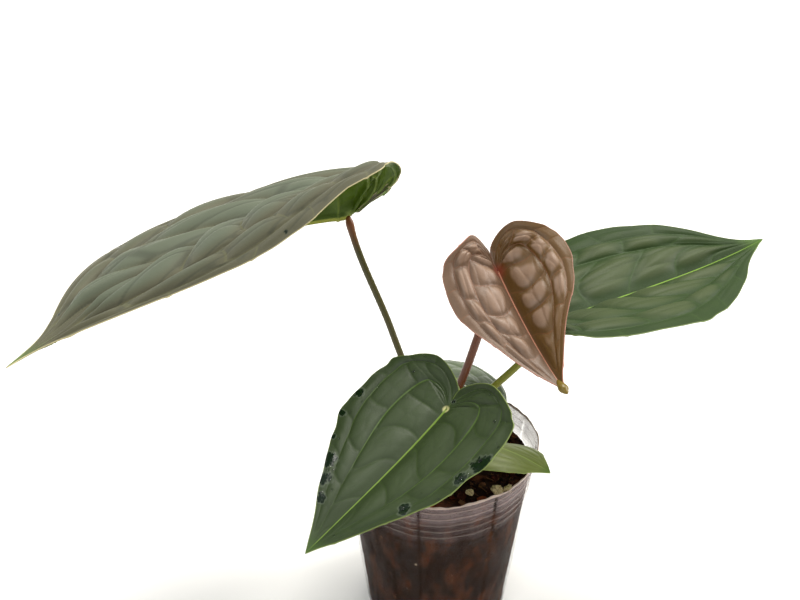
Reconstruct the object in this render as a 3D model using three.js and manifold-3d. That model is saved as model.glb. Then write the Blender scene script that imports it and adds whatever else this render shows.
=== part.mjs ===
// A young anthurium growing in a soft, clear nursery pot. Millimetres, +Z up.
// The origin is the centre of the pot's base, on the surface that the pot stands on.
import * as THREE from 'three';
import { ParametricGeometry } from 'three/addons/geometries/ParametricGeometry.js';
import { mergeVertices } from 'three/addons/utils/BufferGeometryUtils.js';
import Module from 'manifold-3d';

// ---- driving dimensions -------------------------------------------------------------------

const fitGap = 0.3; // air between neighbouring pieces

const pot = {
  height: 104,
  rimRadius: 50,
  baseRadius: 38,
  wall: 0.8,
  floor: 1.2,
  lip: { proud: 0.9, height: 1.8 }, // thickened rim
  ring: { count: 5, pitch: 4.3, proud: 0.45, height: 1.6 }, // stacking rings under the rim
  drain: { count: 6, radius: 4, circle: 22 },
  sides: 48,
};

const mix = { topCentre: 94.2, topEdge: 92, sides: 40 };

const crown = { x: -2, y: 2, top: 102, ring: 5 }; // the petioles stand in a ring on the stem's top

const stemProfile = [[0, 72], [4, 73.5], [5.6, 80], [6.2, 89], [7.2, 98], [7.2, crown.top], [0, crown.top]];

const bladeThickness = 0.8;
const midribBow = 0.1; // how far side veins bow towards the tip, of the blade's length
const midribStart = 0.36; // the basal veins before this all leave from the petiole

// One entry per leaf. length runs from the petiole to the tip; lobe, width, belly (where the blade
// is widest), gap (the sinus) and tail (the drawn-out tip) are shares of it. Angles are degrees:
// fold lifts both halves at the midrib, curl bends them across, lift raises the basal lobes,
// bend and sweep bend the midrib along its length, twist turns the tip about the midrib.
const leaves = {
  large: {
    length: 177.5, lobe: 0.14, width: 0.9, belly: 0.2, gap: 0.44, tail: 0.05,
    halves: [0.91, 1.04], fold: 43, tipFold: 0, lean: -56, curl: -61, curlLean: -13,
    lift: -2, bend: -101, sweep: 53, twist: -20, heading: 184, pitch: -3, roll: 83.5,
    at: [-43.5, 24, 221], columns: 12, colour: 0x4c5a48, roughness: 0.7,
    petiole: { radius: 1.7, angle: 165, via: [[-24, 13, 162]], colour: 0x5a5a30 },
  },
  front: {
    length: 88.5, lobe: 0.23, width: 0.91, belly: 0.21, gap: 0.04, tail: 0.1,
    halves: [1.04, 1], fold: 9, tipFold: 15, lean: 0, curl: 4, curlLean: 0,
    lift: 52, bend: 21, sweep: -14, twist: -10, heading: 224, pitch: -27, roll: 4.5,
    at: [0.5, -54.5, 164], columns: 10, colour: 0x35472f, roughness: 0.6,
    petiole: { radius: 1.9, angle: -125, via: [[-4, -26, 132]], colour: 0x63702f },
  },
  young: {
    length: 71.5, lobe: 0.32, width: 0.91, belly: 0.16, gap: 0.04, tail: 0.1,
    halves: [1.06, 1], fold: 43, tipFold: 26, lean: 0, curl: -37, curlLean: 0,
    lift: 36, bend: 20, sweep: 6, twist: 24, heading: 293.5, pitch: -30, roll: 10,
    at: [26, 1, 202.5], columns: 10, colour: 0x9a7552, roughness: 0.35,
    petiole: { radius: 2.1, angle: 30, via: [[14.5, 3, 152]], colour: 0x6b3a22 },
  },
  right: {
    length: 142, lobe: 0.18, width: 0.82, belly: 0.26, gap: 0.15, tail: 0.1,
    halves: [0.99, 1], fold: 26, tipFold: 22, lean: 0, curl: -33, curlLean: 0,
    lift: 17, bend: -14, sweep: 21, twist: 31, heading: 28.5, pitch: 5, roll: -14.5,
    at: [53.5, 17, 163.5], columns: 10, colour: 0x3f5a3c, roughness: 0.55,
    petiole: { radius: 1.9, angle: -25, via: [[26, 9.5, 129], [39, 13, 141]], colour: 0x8a8a35 },
  },
  back: {
    length: 64, lobe: 0.42, width: 0.81, belly: 0.19, gap: 0.1, tail: 0.1,
    halves: [1, 1], fold: 2, tipFold: 5, lean: 0, curl: -11, curlLean: 0,
    lift: -22, bend: -28, sweep: -6, twist: -3, heading: 127, pitch: -5, roll: 14,
    at: [11, 36.5, 116], columns: 8, colour: 0x7c8a74, roughness: 0.6,
    petiole: { radius: 1.5, angle: 95, via: [[3, 20, 105.5], [8.5, 31, 107.5]], colour: 0x7a8242 },
  },
  rim: {
    length: 54.5, lobe: 0.04, width: 0.68, belly: 0.39, gap: 0.1, tail: 0.2,
    halves: [1.02, 1], fold: -11, tipFold: 3, lean: 0, curl: -35, curlLean: 0,
    lift: 4, bend: -32, sweep: 0, twist: 21, heading: 334.5, pitch: 16, roll: -23,
    at: [7, -6, 109.5], columns: 8, colour: 0x7c9450, roughness: 0.5,
    petiole: { radius: 1.3, angle: -75, via: [], colour: 0x86983f },
  },
};

// Papery sheaths that wrapped the older leaves, standing between the petioles.
const cataphylls = [{ angle: 130, length: 19 }, { angle: 205, length: 23 }];

// Main roots: the direction each leaves the stem in, how far out and how deep it ends.
const roots = [
  { angle: 20, start: 84, reach: 34, end: 38 },
  { angle: 110, start: 80, reach: 31, end: 48 },
  { angle: 205, start: 83, reach: 35, end: 34 },
  { angle: 290, start: 79, reach: 33, end: 44 },
];
const rootRadius = 1.3;

// Lumps on top of the mix: x, y, size.
const pumiceLumps = [[28, -28.5, 3], [33.5, -27, 2.3], [14.5, -30, 2.1], [-22, 27, 2.6]];
const barkChips = [[38, -10, 5.5], [21, -37, 4.5], [-8, -37, 5], [-33, -18, 6], [-30, 19, 5], [27, 30, 5.5]];
const chipThickness = 2.4;

// ---- helpers ------------------------------------------------------------------------------

const wasm = await Module();
wasm.setup();

const radians = THREE.MathUtils.degToRad;
const clamp = THREE.MathUtils.clamp;

function vector(list) {
  return new THREE.Vector3(...list);
}

function around(angle, radius, z) {
  return new THREE.Vector3(
    crown.x + radius * Math.cos(radians(angle)), crown.y + radius * Math.sin(radians(angle)), z);
}

// Joins the shared vertices and drops triangles that have shrunk to a line or a point.
function weld(geometry) {
  geometry.deleteAttribute('normal');
  geometry.deleteAttribute('uv');
  const merged = mergeVertices(geometry, 1e-3);
  const kept = [];
  for (let i = 0; i < merged.index.count; i += 3) {
    const [a, b, c] = [0, 1, 2].map((k) => merged.index.getX(i + k));
    if (a !== b && b !== c && c !== a) kept.push(a, b, c);
  }
  merged.setIndex(kept);
  merged.computeVertexNormals();
  return merged;
}

function solid(geometry) {
  const merged = weld(geometry);
  const vertProperties = new Float32Array(merged.attributes.position.array);
  const triVerts = new Uint32Array(merged.index.array);
  return new wasm.Manifold(new wasm.Mesh({ numProp: 3, vertProperties, triVerts }));
}

function fromSolid(body) {
  const { vertProperties, triVerts } = body.getMesh();
  const geometry = new THREE.BufferGeometry();
  geometry.setAttribute('position', new THREE.BufferAttribute(vertProperties, 3));
  geometry.setIndex(new THREE.BufferAttribute(triVerts, 1));
  geometry.computeVertexNormals();
  return geometry;
}

function named(name, geometry, colour, roughness, more = {}) {
  const material = new THREE.MeshStandardMaterial({ color: colour, roughness, metalness: 0, ...more });
  const mesh = new THREE.Mesh(geometry, material);
  mesh.name = name;
  return mesh;
}

// A lathe turned about +Z from [radius, height] pairs.
function turned(profile, sides) {
  const geometry = new THREE.LatheGeometry(profile.map(([r, z]) => new THREE.Vector2(r, z)), sides);
  return geometry.rotateX(Math.PI / 2);
}

function tube(points, radius, sides, steps) {
  const section = new THREE.Shape();
  for (let i = 0; i < sides; i++) {
    const a = (2 * Math.PI * i) / sides;
    if (i === 0) section.moveTo(radius, 0);
    else section.lineTo(radius * Math.cos(a), radius * Math.sin(a));
  }
  const extrudePath = new THREE.CatmullRomCurve3(points, false, 'centripetal');
  return weld(new THREE.ExtrudeGeometry(section, { steps, extrudePath, bevelEnabled: false }));
}

// ---- pot ----------------------------------------------------------------------------------

function wallRadius(z) {
  return pot.baseRadius + ((pot.rimRadius - pot.baseRadius) * z) / pot.height;
}

function clearPot() {
  const { wall, floor, height, lip, ring, drain } = pot;
  const outside = [[0, 0], [pot.baseRadius, 0]];
  for (let i = ring.count; i > 0; i--) {
    const z = height - i * ring.pitch - ring.height;
    outside.push([wallRadius(z), z]);
    outside.push([wallRadius(z) + ring.proud, z + ring.height / 2]);
    outside.push([wallRadius(z + ring.height), z + ring.height]);
  }
  const lipRadius = wallRadius(height) + lip.proud;
  outside.push([wallRadius(height - lip.height), height - lip.height]);
  outside.push([lipRadius, height - lip.height / 2], [lipRadius - 0.3, height]);
  const inside = [[wallRadius(height) - wall, height], [wallRadius(floor) - wall, floor], [0, floor]];
  let body = solid(turned([...outside, ...inside], pot.sides));
  for (let i = 0; i < drain.count; i++) {
    const a = (2 * Math.PI * (i + 0.5)) / drain.count;
    const hole = new THREE.CylinderGeometry(drain.radius, drain.radius, 4 * floor, 16).rotateX(Math.PI / 2);
    hole.translate(drain.circle * Math.cos(a), drain.circle * Math.sin(a), floor / 2);
    body = body.subtract(solid(hole));
  }
  return named('clear_pot', fromSolid(body), 0xb9aca8, 0.35, { transparent: true, opacity: 0.6 });
}

// ---- potting mix, stem and roots ----------------------------------------------------------

function mixTop(r) {
  const edge = wallRadius(mix.topEdge) - pot.wall - fitGap;
  return mix.topCentre - (mix.topCentre - mix.topEdge) * (r / edge) ** 2;
}

function stemGeometry(grow) {
  const grown = stemProfile.map(([r, z]) => [r === 0 ? 0 : r + grow, z]);
  grown[0][1] -= grow;
  grown[grown.length - 1][1] += grow;
  grown[grown.length - 2][1] += grow;
  return turned(grown, 16).translate(crown.x, crown.y, 0);
}

function rootPath(root, startRadius) {
  const middle = (startRadius + root.reach) / 2;
  return [
    around(root.angle, startRadius, root.start),
    around(root.angle, startRadius + 5, root.start - 2),
    around(root.angle + 8, middle, (root.start + root.end) / 2 + 6),
    around(root.angle + 2, root.reach, root.end),
  ];
}

function pottingMix() {
  const clear = pot.wall + fitGap;
  const bottom = pot.floor + fitGap;
  const profile = [[0, bottom], [wallRadius(bottom) - clear, bottom]];
  const edge = wallRadius(mix.topEdge) - clear;
  for (const share of [1, 0.75, 0.5, 0.25, 0]) profile.push([edge * share, mixTop(edge * share)]);
  let body = solid(turned(profile, mix.sides)).subtract(solid(stemGeometry(fitGap)));
  for (const root of roots) {
    const channel = rootPath(root, 7.8);
    channel.unshift(around(root.angle, 4, root.start + 0.5)); // opens into the stem's socket
    const end = channel.length - 1;
    channel[end].add(channel[end].clone().sub(channel[end - 1]).setLength(fitGap + 0.2));
    body = body.subtract(solid(tube(channel, rootRadius + fitGap + 0.1, 8, 12)));
  }
  return named('potting_mix', fromSolid(body), 0x241a14, 0.95);
}

function stemAndRoots() {
  const stem = named('stem', weld(stemGeometry(0)), 0x5b5a34, 0.7);
  const runs = roots.map((root, i) =>
    named(`root_${i + 1}`, tube(rootPath(root, 7.8), rootRadius, 6, 10), 0xc8b48e, 0.7));
  return [stem, ...runs];
}

// ---- leaves -------------------------------------------------------------------------------

// Half of the blade's outline from the sinus round the lobe to the tip, in shares of its length.
function outlineOf(leaf) {
  const half = leaf.width / 2;
  const { lobe, belly, gap, tail } = leaf;
  return new THREE.SplineCurve([
    [0, 0],
    [-0.55 * lobe, 0.5 * gap * half],
    [-lobe, 0.42 * half],
    [-0.72 * lobe, 0.8 * half],
    [0.5 * belly - 0.16, 0.97 * half],
    [belly, half],
    [belly + 0.22, 0.84 * half],
    [belly + 0.42, 0.56 * half],
    [0.86, 2 * tail * half],
    [1, 0],
  ].map(([x, y]) => new THREE.Vector2(x, y)));
}

// Slope of the midrib, in radians, at x lengths from the petiole.
function midribSlope(leaf, x) {
  return radians(x > 0 ? leaf.bend * x + leaf.sweep * x * x : (leaf.lift * x) / 0.3);
}

function midribPoint(leaf, x) {
  const slices = 24;
  let [along, up] = [0, 0];
  for (let i = 0; i < slices; i++) {
    const slope = midribSlope(leaf, ((i + 0.5) / slices) * x);
    along += (Math.cos(slope) * x) / slices;
    up += (Math.sin(slope) * x) / slices;
  }
  return [along * leaf.length, up * leaf.length];
}

function leafPose(leaf) {
  const turn = new THREE.Matrix4().makeRotationZ(radians(leaf.heading));
  turn.multiply(new THREE.Matrix4().makeRotationY(-radians(leaf.pitch)));
  turn.multiply(new THREE.Matrix4().makeRotationX(radians(leaf.roll)));
  return turn.setPosition(...leaf.at);
}

// The blade's middle surface. t runs along a half's outline from the sinus to the tip, v across
// the blade from the right margin (-1) over the midrib (0) to the left margin (1).
function bladeSurface(leaf) {
  const outline = outlineOf(leaf);
  const pose = leafPose(leaf);
  return (t, v) => {
    const side = v < 0 ? -1 : 1;
    const a = Math.abs(v);
    const edge = outline.getPoint(t);
    const rib = clamp((t - midribStart) / (1 - midribStart), 0, 1) ** 1.15;
    const bow = midribBow * (1 - t) * clamp(t / 0.3, 0, 1) * 4 * a * (1 - a);
    const x = t === 1 ? 1 : rib * (1 - a) + edge.x * a - 0.5 * bow;
    const across = (t === 1 ? 0 : edge.y * a + 0.35 * bow) * leaf.length * leaf.halves[v < 0 ? 1 : 0];
    const s = clamp(x, -0.5, 1);
    const fold = radians(leaf.fold + (leaf.tipFold - leaf.fold) * s + leaf.lean * side);
    const curl = radians(leaf.curl * (1 - 0.5 * clamp(s, 0, 1)) + leaf.curlLean * side);
    const bendRadius = (leaf.width * leaf.length) / 2 / curl;
    const angle = fold + across / bendRadius;
    const out = side * bendRadius * (Math.sin(angle) - Math.sin(fold));
    const rise = bendRadius * (Math.cos(fold) - Math.cos(angle));
    const [along, up] = midribPoint(leaf, x);
    const slope = midribSlope(leaf, x);
    const turn = new THREE.Vector2(out, rise).rotateAround(new THREE.Vector2(), radians(leaf.twist * s));
    const point = new THREE.Vector3(along - turn.y * Math.sin(slope), turn.x, up + turn.y * Math.cos(slope));
    // At the midrib the two halves meet in a crease, so the normal eases to the one between them.
    const ease = Math.min(1, across / 2);
    const lean = radians(leaf.lean);
    const facing = new THREE.Vector2(-Math.sin(lean), Math.cos(lean)).multiplyScalar(1 - ease);
    facing.add(new THREE.Vector2(-side * Math.sin(angle), Math.cos(angle)).multiplyScalar(ease));
    facing.normalize().rotateAround(new THREE.Vector2(), radians(leaf.twist * s));
    const normal = new THREE.Vector3(
      -facing.y * Math.sin(slope), facing.x, facing.y * Math.cos(slope));
    return { point: point.applyMatrix4(pose), normal: normal.transformDirection(pose) };
  };
}

// The closed blade: its section goes over the upper face and back under the lower one.
function bladeGeometry(leaf, thickness, columns, rows) {
  const surface = bladeSurface(leaf);
  const section = (u, t, target) => {
    const step = Math.round(u * 2 * columns);
    const under = step > columns;
    const even = under ? (2 * (step - columns)) / columns - 1 : 1 - (2 * step) / columns;
    const v = even * (1.5 - 0.5 * even * even); // columns crowd towards the margins
    const { point, normal } = surface(t, v);
    const margin = Math.abs(v) === 1 || t === 1;
    const half = margin ? 0 : (thickness / 2) * Math.min(1, 6 * (1 - t));
    target.copy(point).addScaledVector(normal, under ? -half : half);
  };
  return weld(new ParametricGeometry(section, 2 * columns, rows));
}

function petioleGeometry(leaf) {
  const { point, normal } = bladeSurface(leaf)(0, 0);
  const neck = point.clone().addScaledVector(normal, -7);
  const top = point.clone().addScaledVector(normal, -(bladeThickness / 2 + fitGap + 0.1));
  const { radius, angle, via } = leaf.petiole;
  const foot = around(angle, crown.ring, crown.top + fitGap);
  const sprout = around(angle, crown.ring + 0.3, crown.top + 3);
  return tube([foot, sprout, ...via.map(vector), neck, top], radius, 8, 14);
}

function leafPieces() {
  const pieces = [];
  for (const [name, leaf] of Object.entries(leaves)) {
    const blade = bladeGeometry(leaf, bladeThickness, leaf.columns, 18);
    pieces.push(named(`leaf_${name}`, blade, leaf.colour, leaf.roughness));
    pieces.push(named(`petiole_${name}`, petioleGeometry(leaf), leaf.petiole.colour, 0.45));
  }
  return pieces;
}

function sheaths() {
  return cataphylls.map(({ angle, length }, i) => {
    const foot = around(angle, 8.1, crown.top - 3);
    const sheath = {
      length, lobe: 0.1, width: 0.5, belly: 0.3, gap: 0.5, tail: 0.12, halves: [1, 1],
      fold: 0, tipFold: 0, lean: 0, curl: 50, curlLean: 0, lift: 0, bend: 10, sweep: 0,
      twist: 0, heading: angle, pitch: 76, roll: 0, at: foot.toArray(),
    };
    return named(`cataphyll_${i + 1}`, bladeGeometry(sheath, bladeThickness, 4, 9), 0x8a6a45, 0.8);
  });
}

// ---- lumps on the mix ---------------------------------------------------------------------

function pumice() {
  return pumiceLumps.map(([x, y, size], i) => {
    const lump = new THREE.IcosahedronGeometry(size, 1).scale(1.15, 0.95, 0.8).rotateZ(i * 1.3);
    lump.translate(x, y, mixTop(Math.hypot(x, y) - size) + 0.8 * size + fitGap);
    return named(`pumice_${i + 1}`, weld(lump), 0xd8c9a6, 0.9);
  });
}

function bark() {
  return barkChips.map(([x, y, size], i) => {
    const outline = [[-1, -0.3], [-0.5, -0.7], [0.6, -0.6], [1, 0.1], [0.5, 0.6], [-0.7, 0.5]];
    const shape = new THREE.Shape(outline.map(([u, v]) => new THREE.Vector2(u * size, v * size * 0.8)));
    const chip = new THREE.ExtrudeGeometry(shape, { depth: chipThickness, bevelEnabled: false });
    chip.rotateZ(0.7 + i * 1.1);
    chip.translate(x, y, mixTop(Math.hypot(x, y) - size) + fitGap);
    return named(`bark_chip_${i + 1}`, weld(chip), 0x5a2f1c, 0.9);
  });
}

const group = new THREE.Group();
group.add(clearPot(), pottingMix(), ...stemAndRoots(), ...leafPieces(), ...sheaths(), ...pumice(), ...bark());
export default group;
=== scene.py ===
# A young velvet-leaved anthurium in a soft clear nursery pot.
# Settings are in millimetres and degrees; Blender works in metres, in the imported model's own frame.
import math

import bmesh
import bpy
import numpy as np
from mathutils import Matrix, Vector, noise


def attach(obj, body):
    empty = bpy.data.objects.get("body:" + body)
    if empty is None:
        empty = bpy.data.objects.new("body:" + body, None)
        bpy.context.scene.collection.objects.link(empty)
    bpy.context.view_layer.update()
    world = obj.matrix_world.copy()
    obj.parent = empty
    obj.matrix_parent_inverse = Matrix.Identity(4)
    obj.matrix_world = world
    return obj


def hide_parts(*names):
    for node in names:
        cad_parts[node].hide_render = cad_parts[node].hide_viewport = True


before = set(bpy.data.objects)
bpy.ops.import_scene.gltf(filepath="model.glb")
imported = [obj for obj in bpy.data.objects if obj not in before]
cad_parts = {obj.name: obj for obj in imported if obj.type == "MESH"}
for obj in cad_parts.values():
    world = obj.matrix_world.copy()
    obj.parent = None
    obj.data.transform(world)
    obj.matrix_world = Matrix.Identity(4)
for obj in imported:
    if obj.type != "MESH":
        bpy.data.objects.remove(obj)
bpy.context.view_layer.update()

mm = 0.001
scene = bpy.context.scene


def hexColour(text):
    channels = [int(text[i:i + 2], 16) / 255 for i in (1, 3, 5)]  # sRGB, as on a colour card
    return [c / 12.92 if c <= 0.04045 else ((c + 0.055) / 1.055) ** 2.4 for c in channels] + [1.0]


def addNode(mat, kind, settings=None, links=None):
    node = mat.node_tree.nodes.new(kind)
    for key, value in (settings or {}).items():
        if isinstance(key, int) or key in node.inputs:
            node.inputs[key].default_value = value
        else:
            setattr(node, key, value)
    for socket, source in (links or {}).items():
        mat.node_tree.links.new(source, node.inputs[socket])
    return node


def newMaterial(name, surface):
    mat = bpy.data.materials.new(name)
    mat.use_nodes = True
    shader = mat.node_tree.nodes["Principled BSDF"]
    for key, value in surface.items():
        shader.inputs[key].default_value = value
    return mat, shader


def joinTo(mat, source, socket):
    mat.node_tree.links.new(source, socket)


def smoothStep(value, low, high):
    x = np.clip((value - low) / (high - low), 0, 1)
    return x * x * (3 - 2 * x)


def addObject(bm, name, materials=(), smooth=True):
    mesh = bpy.data.meshes.new(name)
    bm.to_mesh(mesh)
    bm.free()
    obj = bpy.data.objects.new(name, mesh)
    scene.collection.objects.link(obj)
    for mat in materials:
        mesh.materials.append(mat)
    if smooth:
        mesh.shade_smooth()
    return obj


def finishPiece(obj, slotName, *nodes):
    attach(obj, "root")
    if nodes:
        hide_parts(*nodes)
    return obj


def readPoints(mesh):
    points = np.empty(len(mesh.vertices) * 3)
    mesh.vertices.foreach_get("co", points)
    return points.reshape(-1, 3)


def writePoints(mesh, points):
    mesh.vertices.foreach_set("co", np.ascontiguousarray(points, dtype=np.float32).ravel())
    mesh.update()


def addVectors(mesh, name, columns):
    layer = mesh.attributes.new(name, "FLOAT_VECTOR", "POINT")
    layer.data.foreach_set("vector", np.stack(columns, 1).astype(np.float32).ravel())


def addFloats(mesh, name, values):
    mesh.attributes.new(name, "FLOAT", "POINT").data.foreach_set("value", values.astype(np.float32))


def splinePoint(points, t):  # Catmull-Rom through evenly spaced points
    points = np.array(points, float)
    last = len(points) - 1
    place = np.clip(t, 0, 1) * last
    i = np.minimum(place.astype(int), last - 1)
    w = (place - i)[:, None]
    before, here, there, after = (points[np.clip(i + k, 0, last)] for k in (-1, 0, 1, 2))
    a, b = (there - before) / 2, (after - here) / 2
    cubic = 2 * here - 2 * there + a + b
    square = 3 * there - 3 * here - 2 * a - b
    return ((cubic * w + square) * w + a) * w + here


def cells(u, w, seed):  # distance to the nearest cell wall, and a random value for each cell
    table = np.random.default_rng(seed).random((64, 64, 3))
    iu, iw = np.floor(u).astype(int), np.floor(w).astype(int)
    first, second, shade = np.full(u.shape, 9.0), np.full(u.shape, 9.0), np.zeros(u.shape)
    for du in (-1, 0, 1):
        for dw in (-1, 0, 1):
            seeds = table[(iu + du) % 64, (iw + dw) % 64]
            gap = np.hypot(u - iu - du - 0.15 - 0.7 * seeds[:, 0], w - iw - dw - 0.15 - 0.7 * seeds[:, 1])
            nearer = gap < first
            second = np.where(nearer, first, np.minimum(second, gap))
            shade = np.where(nearer, seeds[:, 2], shade)
            first = np.minimum(first, gap)
    return (second - first) / 2, shade


view = {
    "lens": 50, "sensor": 36, "pitch": 31, "aim": (-20, 0, 188), "distance": 527,
    "floor": "#f4f3f1", "sky": "#ffffff", "skyStrength": 0.42,
}


def makeCamera():
    data = bpy.data.cameras.new("camera")
    data.lens = view["lens"]
    data.sensor_width = view["sensor"]
    data.clip_start, data.clip_end = 0.01, 20
    camera = bpy.data.objects.new("camera", data)
    pitch = math.radians(view["pitch"])
    back = Vector((0, -math.cos(pitch), math.sin(pitch)))
    camera.location = (Vector(view["aim"]) + back * view["distance"]) * mm
    camera.rotation_euler = (math.pi / 2 - pitch, 0, 0)
    scene.collection.objects.link(camera)
    scene.camera = camera


def makeStage():
    bm = bmesh.new()
    bmesh.ops.create_grid(bm, x_segments=2, y_segments=2, size=4)
    mat, _ = newMaterial("paintedBoard", {"Base Color": hexColour(view["floor"]), "Roughness": 0.8})
    floor = addObject(bm, "floor", [mat])
    world = bpy.data.worlds.new("softWhiteRoom")
    world.use_nodes = True
    background = world.node_tree.nodes["Background"]
    background.inputs["Color"].default_value = hexColour(view["sky"])
    background.inputs["Strength"].default_value = view["skyStrength"]
    scene.world = world


lamps = {
    "overhead": {"at": (600, 1300, 2900), "size": 1500, "power": 95, "colour": "#fffcf4"},
    "windowRight": {"at": (2300, 500, 1500), "size": 1100, "power": 56, "colour": "#fffdfa"},
    "frontLeft": {"at": (-900, -1900, 1900), "size": 1300, "power": 22, "colour": "#ffffff"},
    "backLeft": {"at": (-1900, 1300, 1500), "size": 1300, "power": 16, "colour": "#fbfdff"},
}


def makeLamps():
    for name, lamp in lamps.items():
        data = bpy.data.lights.new(name, "AREA")
        data.energy = lamp["power"]
        data.size = lamp["size"] * mm
        data.color = hexColour(lamp["colour"])[:3]
        obj = bpy.data.objects.new(name, data)
        obj.location = Vector(lamp["at"]) * mm
        aim = Vector((0, 0, 0.13)) - obj.location
        obj.rotation_euler = aim.to_track_quat("-Z", "Y").to_euler()
        scene.collection.objects.link(obj)


scene.view_settings.view_transform = "Standard"
makeCamera()
makeStage()
makeLamps()
print("stage ready")


# A leaf's colour comes from vertex attributes that the blade carries in real millimetres:
# veins = (side vein count, gap between side veins, fine net), arches = (from the inner arching vein,
# from the outer one, from the midrib), edges = (from the margin, share of the length, pillow height),
# flat = (x, y) on the leaf pressed flat, wet = 1 under a drop or a wet film.

def leafMaterial(name, look):
    mat, shader = newMaterial(name, look["surface"])
    flat = addNode(mat, "ShaderNodeAttribute", {"attribute_name": "flat"}).outputs["Vector"]
    parts = {}
    for attribute in ("veins", "arches", "edges"):
        source = addNode(mat, "ShaderNodeAttribute", {"attribute_name": attribute})
        parts[attribute] = addNode(mat, "ShaderNodeSeparateXYZ", links={0: source.outputs["Vector"]}).outputs
    # distance to the nearest side vein, in mm
    turn = addNode(mat, "ShaderNodeMath", {"operation": "ADD", 1: 0.5}, {0: parts["veins"][0]})
    turn = addNode(mat, "ShaderNodeMath", {"operation": "FRACT"}, {0: turn.outputs[0]})
    turn = addNode(mat, "ShaderNodeMath", {"operation": "SUBTRACT", 1: 0.5}, {0: turn.outputs[0]})
    turn = addNode(mat, "ShaderNodeMath", {"operation": "ABSOLUTE"}, {0: turn.outputs[0]})
    sideVein = addNode(mat, "ShaderNodeMath", {"operation": "MULTIPLY"},
                       {0: turn.outputs[0], 1: parts["veins"][1]})
    # midrib and arching veins thin towards the tip, so their distances are divided by a local width
    taper = addNode(mat, "ShaderNodeMapRange", {1: 0.0, 2: 1.0, 3: look["midribWidth"], 4: 0.2},
                    {0: parts["edges"][1]})
    thin = addNode(mat, "ShaderNodeMapRange", {1: look["archFrom"], 2: look["archEnd"], 3: 1.0, 4: 0.08},
                   {0: parts["edges"][1]})
    inner = addNode(mat, "ShaderNodeMath", {"operation": "ABSOLUTE"}, {0: parts["arches"][0]})
    inner = addNode(mat, "ShaderNodeMath", {"operation": "DIVIDE"}, {0: inner.outputs[0], 1: thin.outputs[0]})
    outer = addNode(mat, "ShaderNodeMath", {"operation": "ABSOLUTE"}, {0: parts["arches"][1]})
    outer = addNode(mat, "ShaderNodeMath", {"operation": "DIVIDE"}, {0: outer.outputs[0], 1: thin.outputs[0]})
    midrib = addNode(mat, "ShaderNodeMath", {"operation": "DIVIDE"},
                     {0: parts["arches"][2], 1: taper.outputs[0]})
    heart = addNode(mat, "ShaderNodeVectorMath", {"operation": "LENGTH"}, {0: flat})
    wet = addNode(mat, "ShaderNodeAttribute", {"attribute_name": "wet"}).outputs["Fac"]
    cloud = addNode(mat, "ShaderNodeTexNoise", {"Scale": 1 / look["cloud"], "Detail": 3.0}, {"Vector": flat})
    shade = addNode(mat, "ShaderNodeMix", {"data_type": "RGBA", 6: hexColour(look["deep"]),
                                           7: hexColour(look["body"])}, {0: cloud.outputs["Fac"]}).outputs[2]
    halves = addNode(mat, "ShaderNodeSeparateXYZ", links={0: flat}).outputs
    layers = [  # colour, what its strength follows, where that is none, where it is full, most of it
        # half: one half of the folded blade is painted darker and warmer, painted shade for how the light
        # falls differently on the two halves of the fold
        ("half", halves[1], -2.0, 3.0, look["shadedHalfShare"]),
        # pillow: colour that rises with the pillow's height, painted highlight on the crests and painted
        # shade in the valleys between them
        ("pillow", parts["edges"][2], look["pillowShadingFrom"], 0.95, look["pillowShadingShare"]),
        # net: the fine vein net in the creases between the small lumps; on the upper skin its dark colour is
        # partly painted shade in those creases
        ("net", parts["veins"][2], 0.15, 1.0, look["netAndCreaseShadeShare"]),
        ("heart", heart.outputs["Value"], look["heartSize"], 1.0, look["heartShare"]),
        ("vein", sideVein.outputs[0], look["veinWidth"], 0.1, look["veinShare"]),
        ("vein", outer.outputs[0], 0.7 * look["veinWidth"], 0.1, 0.7 * look["archShare"]),
        ("vein", inner.outputs[0], look["veinWidth"], 0.15, look["archShare"]),
        ("midrib", midrib.outputs[0], 1.0, 0.6, look["midribShare"]),
        ("margin", parts["edges"][0], look["marginWidth"], 0.15, look["marginShare"]),
        ("tip", parts["edges"][1], look["tipFrom"], 0.985, look["tipShare"]),
        # a pale rim round the edge of each wet patch
        ("paleWetRim", wet, 0.03, 0.2, look["paleWetRimShare"]),
        ("wet", wet, 0.35, 0.6, look["wetShare"]),
    ]
    for colour, source, none, full, most in layers:
        if most == 0:
            continue
        mask = addNode(mat, "ShaderNodeMapRange",
                       {"interpolation_type": "SMOOTHSTEP", 1: none, 2: full, 3: 0.0, 4: most}, {0: source})
        shade = addNode(mat, "ShaderNodeMix", {"data_type": "RGBA", 7: hexColour(look[colour])},
                        {0: mask.outputs[0], 6: shade}).outputs[2]
    joinTo(mat, shade, shader.inputs["Base Color"])
    if look["wetShare"]:
        gloss = addNode(mat, "ShaderNodeMapRange", {1: 0.3, 2: 1.0, 3: look["surface"]["Roughness"], 4: 0.1},
                        {0: wet})
        joinTo(mat, gloss.outputs[0], shader.inputs["Roughness"])
    # fine skin: a grain and the smallest vein net, as bump only because they are under 0.2 mm high
    grain = addNode(mat, "ShaderNodeTexNoise", {"Scale": 1 / look["grain"], "Detail": 2.0}, {"Vector": flat})
    mesh = addNode(mat, "ShaderNodeTexVoronoi",
                   {"feature": "DISTANCE_TO_EDGE", "Scale": 1 / look["skinCell"]}, {"Vector": flat})
    edge = addNode(mat, "ShaderNodeMapRange", {1: 0.0, 2: 0.12, 3: 0.0, 4: 0.6},
                   {0: mesh.outputs["Distance"]})
    height = addNode(mat, "ShaderNodeMath", {"operation": "ADD"},
                     {0: grain.outputs["Fac"], 1: edge.outputs[0]})
    bump = addNode(mat, "ShaderNodeBump", {"Strength": look["bump"], "Distance": 0.12 * mm},
                   {"Height": height.outputs[0]})
    joinTo(mat, bump.outputs["Normal"], shader.inputs["Normal"])
    return mat


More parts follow.
